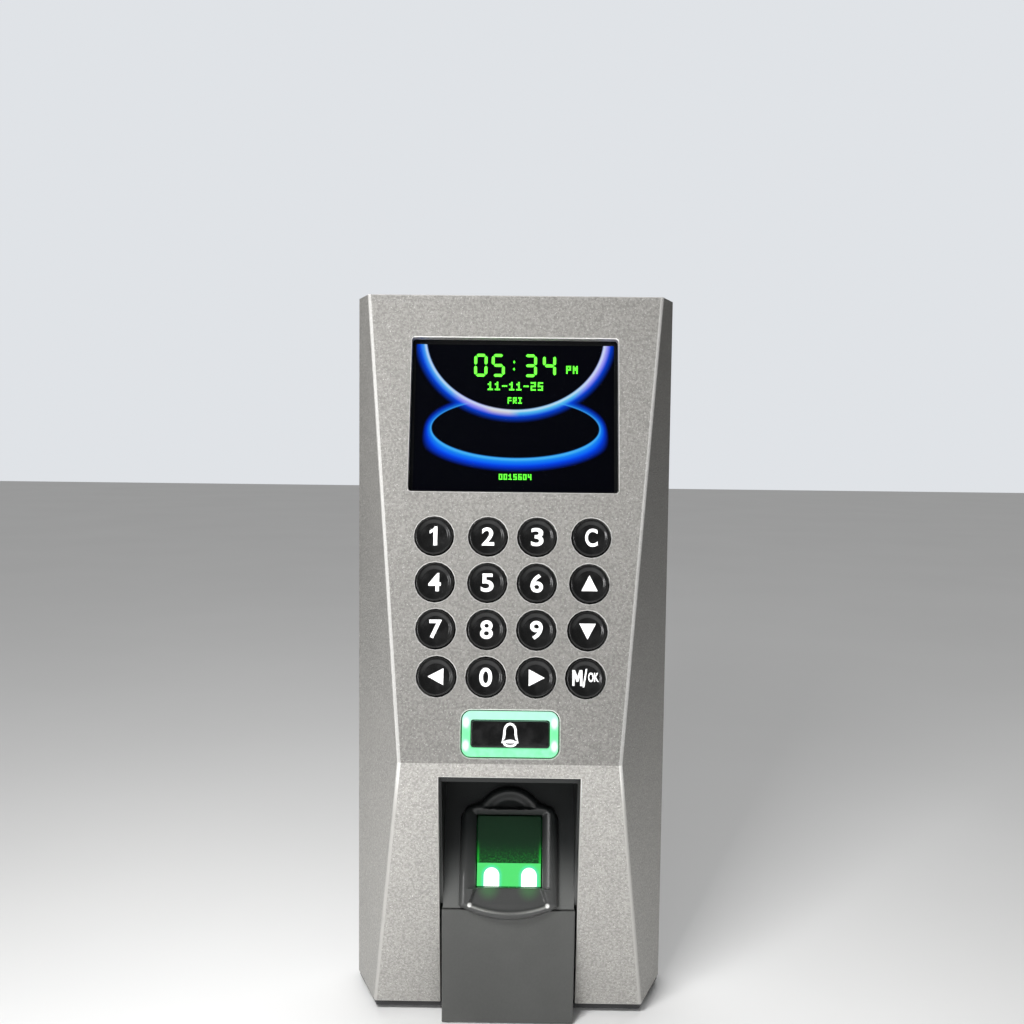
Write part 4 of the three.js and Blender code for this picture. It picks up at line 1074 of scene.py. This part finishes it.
def screw(node, head_radius, head_height, shank_radius, length, base):
    """A pan head screw with a cross recess, its head towards +z."""
    dome = [(head_radius * math.cos(turn), head_height * (0.35 + 0.65 * math.sin(turn)))
            for turn in turns(0, 76, 15)]
    point = shank_radius * 0.6
    profile = [(0, -length), (point, -length), (shank_radius, point - length)]
    for turn in range(int((length - shank_radius) / THREAD_PITCH)):
        foot = point - length + turn * THREAD_PITCH
        profile += [(shank_radius, foot + 0.2 * THREAD_PITCH),
                    (shank_radius * 0.8, foot + 0.6 * THREAD_PITCH)]
    profile += [(shank_radius, 0), (head_radius, 0)] + dome + [(0, head_height)]
    blank = piece(node + "_metal", finish_mesh(lathe(profile, 40), 40), base, BODY_OF[node],
                  SURFACES["steel"], [node])
    reach, half = head_radius * CROSS_REACH, head_radius * CROSS_BAR / 2
    quarter = [(reach, half), (half, half), (half, reach)]
    corners = quarter + [(-x, y) for x, y in reversed(quarter)]
    corners += [(-x, -y) for x, y in corners]
    ends = (head_height - CROSS_DEPTH, 0.55), (head_height + CROSS_DEPTH, 1.35)
    recess = loft([[(x * share, y * share, z) for x, y in corners] for z, share in ends])
    cutter = linked("cutter", finish_mesh(recess))
    cutter.matrix_world = base
    cut = blank.modifiers.new("recess", "BOOLEAN")
    cut.operation = "DIFFERENCE"
    cut.solver = "EXACT"
    cut.object = cutter
    mesh = evaluated_mesh(blank)
    blank.modifiers.clear()
    blank.data = mesh
    bpy.data.objects.remove(cutter)


def head_frame(node, direction):
    """A frame at the end of a screw node, with z along the way its head looks."""
    low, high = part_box(node)
    middle = (low + high) / 2
    reach = abs((high - low).dot(direction)) / 2
    base = direction.to_track_quat("Z", "Y").to_matrix().to_4x4()
    base.translation = middle + direction * reach
    return base


# Head radius, head height, shank radius and length in millimetres, and the way the head looks.
for node, head_radius, head_height, shank_radius, length, looks in (
    [(f"case_screw_{i}", 2.6, 1.7, 1.4, 9.0, (0, 1, 0)) for i in range(1, 5)]
    + [(f"board_screw_{i}", 2.3, 1.2, 1.2, 5.0, (0, -1, 0)) for i in range(1, 5)]
    + [("lock_screw", 2.8, 1.45, 1.5, 9.0, (0, 0, -1))]
):
    base = moved(head_frame(node, Vector(looks)), z=-head_height * MM)
    screw(node, head_radius * MM, head_height * MM, shank_radius * MM, length * MM, base)


# ---------------------------------------------------------------- carried-over nodes
for node, part in NODES.items():
    if not part.hide_render:
        part.data.materials.clear()
        part.data.materials.append(SURFACES[SLOT_OF[node]])


# ---------------------------------------------------------------- floor, lights and camera
FLOOR_GAP = 0.3 * MM
FLOOR_SIZE = 6.0


def studio_floor():
    ground = Finish("studio_floor", (0.78, 0.78, 0.77), 0.55)
    mottle = ground.noise(0.15, 4.0)
    ground.shade({"Base Color": ground.mix(mottle, (0.74, 0.74, 0.735), (0.8, 0.8, 0.795))})
    return ground.material


half = FLOOR_SIZE / 2
floor_mesh = bpy.data.meshes.new("studio_floor")
floor_mesh.from_pydata([(-half, -half, 0), (half, -half, 0), (half, half, 0), (-half, half, 0)],
                       [], [(0, 1, 2, 3)])
floor_mesh.materials.append(studio_floor())
studio = linked("studio_floor", floor_mesh)
studio.location = (0, 0, cad_box[0].z - FLOOR_GAP)

AIR_SEEN, AIR_LIGHT = 0.8, 0.05
world = bpy.data.worlds.new("studio_air")
world.use_nodes = True
air = world.node_tree
seen = air.nodes.new("ShaderNodeLightPath")
level = air.nodes.new("ShaderNodeMapRange")
level.inputs["To Min"].default_value = AIR_LIGHT
level.inputs["To Max"].default_value = AIR_SEEN
air.links.new(seen.outputs["Is Camera Ray"], level.inputs["Value"])
air.links.new(level.outputs["Result"], air.nodes["Background"].inputs["Strength"])
air.nodes["Background"].inputs["Color"].default_value = (0.93, 0.96, 1.0, 1)
bpy.context.scene.world = world
bpy.context.scene.view_settings.view_transform = "Standard"


def add_light(name, kind, power, place, aim=(0, 0, 0)):
    """A light that never shows itself, neither to the camera nor in a reflection."""
    lamp = bpy.data.lights.new(name, kind)
    lamp.energy = power
    holder = linked(name, lamp)
    holder.location = place
    holder.rotation_euler = (Vector(aim) - Vector(place)).to_track_quat("-Z", "Y").to_euler()
    holder.visible_camera = False
    holder.visible_glossy = False
    return holder


def soft_box(name, place, width, height, power, aim=(0, 0, 0)):
    """A rectangular light that faces its aim."""
    holder = add_light(name, "AREA", power, place, aim)
    holder.data.shape = "RECTANGLE"
    holder.data.size, holder.data.size_y = width, height
    return holder


def reflector(name, place, width, height, power):
    """A light that shows only in reflections."""
    holder = soft_box(name, place, width, height, power)
    holder.visible_glossy = True
    holder.visible_diffuse = False


soft_box("front", (-0.12, -0.85, 0.1), 0.5, 0.2, 3.2)
soft_box("upper", (-0.08, -0.2, 0.15), 0.08, 0.08, 0.92)
soft_box("low_front", (-0.02, -0.16, -0.064), 0.6, 0.02, 0.135, (-0.02, 0, -0.06))
reflector("left_strip", (-0.7, -0.45, 0.05), 0.1, 0.45, 2.6)
overhead = add_light("overhead", "SUN", 1.6, (0, 0.6, 1))
overhead.data.angle = math.radians(60)

CAMERA_LENS = 35.32  # on the default 36 mm sensor
CAMERA_PLACE = Vector((1.7, -272.5, 53.8)) * MM
CAMERA_TURN = [math.radians(angle) for angle in (86.0, -0.65, 0.5)]
lens = bpy.data.cameras.new("view_camera")
lens.lens = CAMERA_LENS
lens.clip_start = 10 * MM
camera = linked("view_camera", lens)
camera.location = CAMERA_PLACE
camera.rotation_euler = CAMERA_TURN
bpy.context.scene.camera = camera
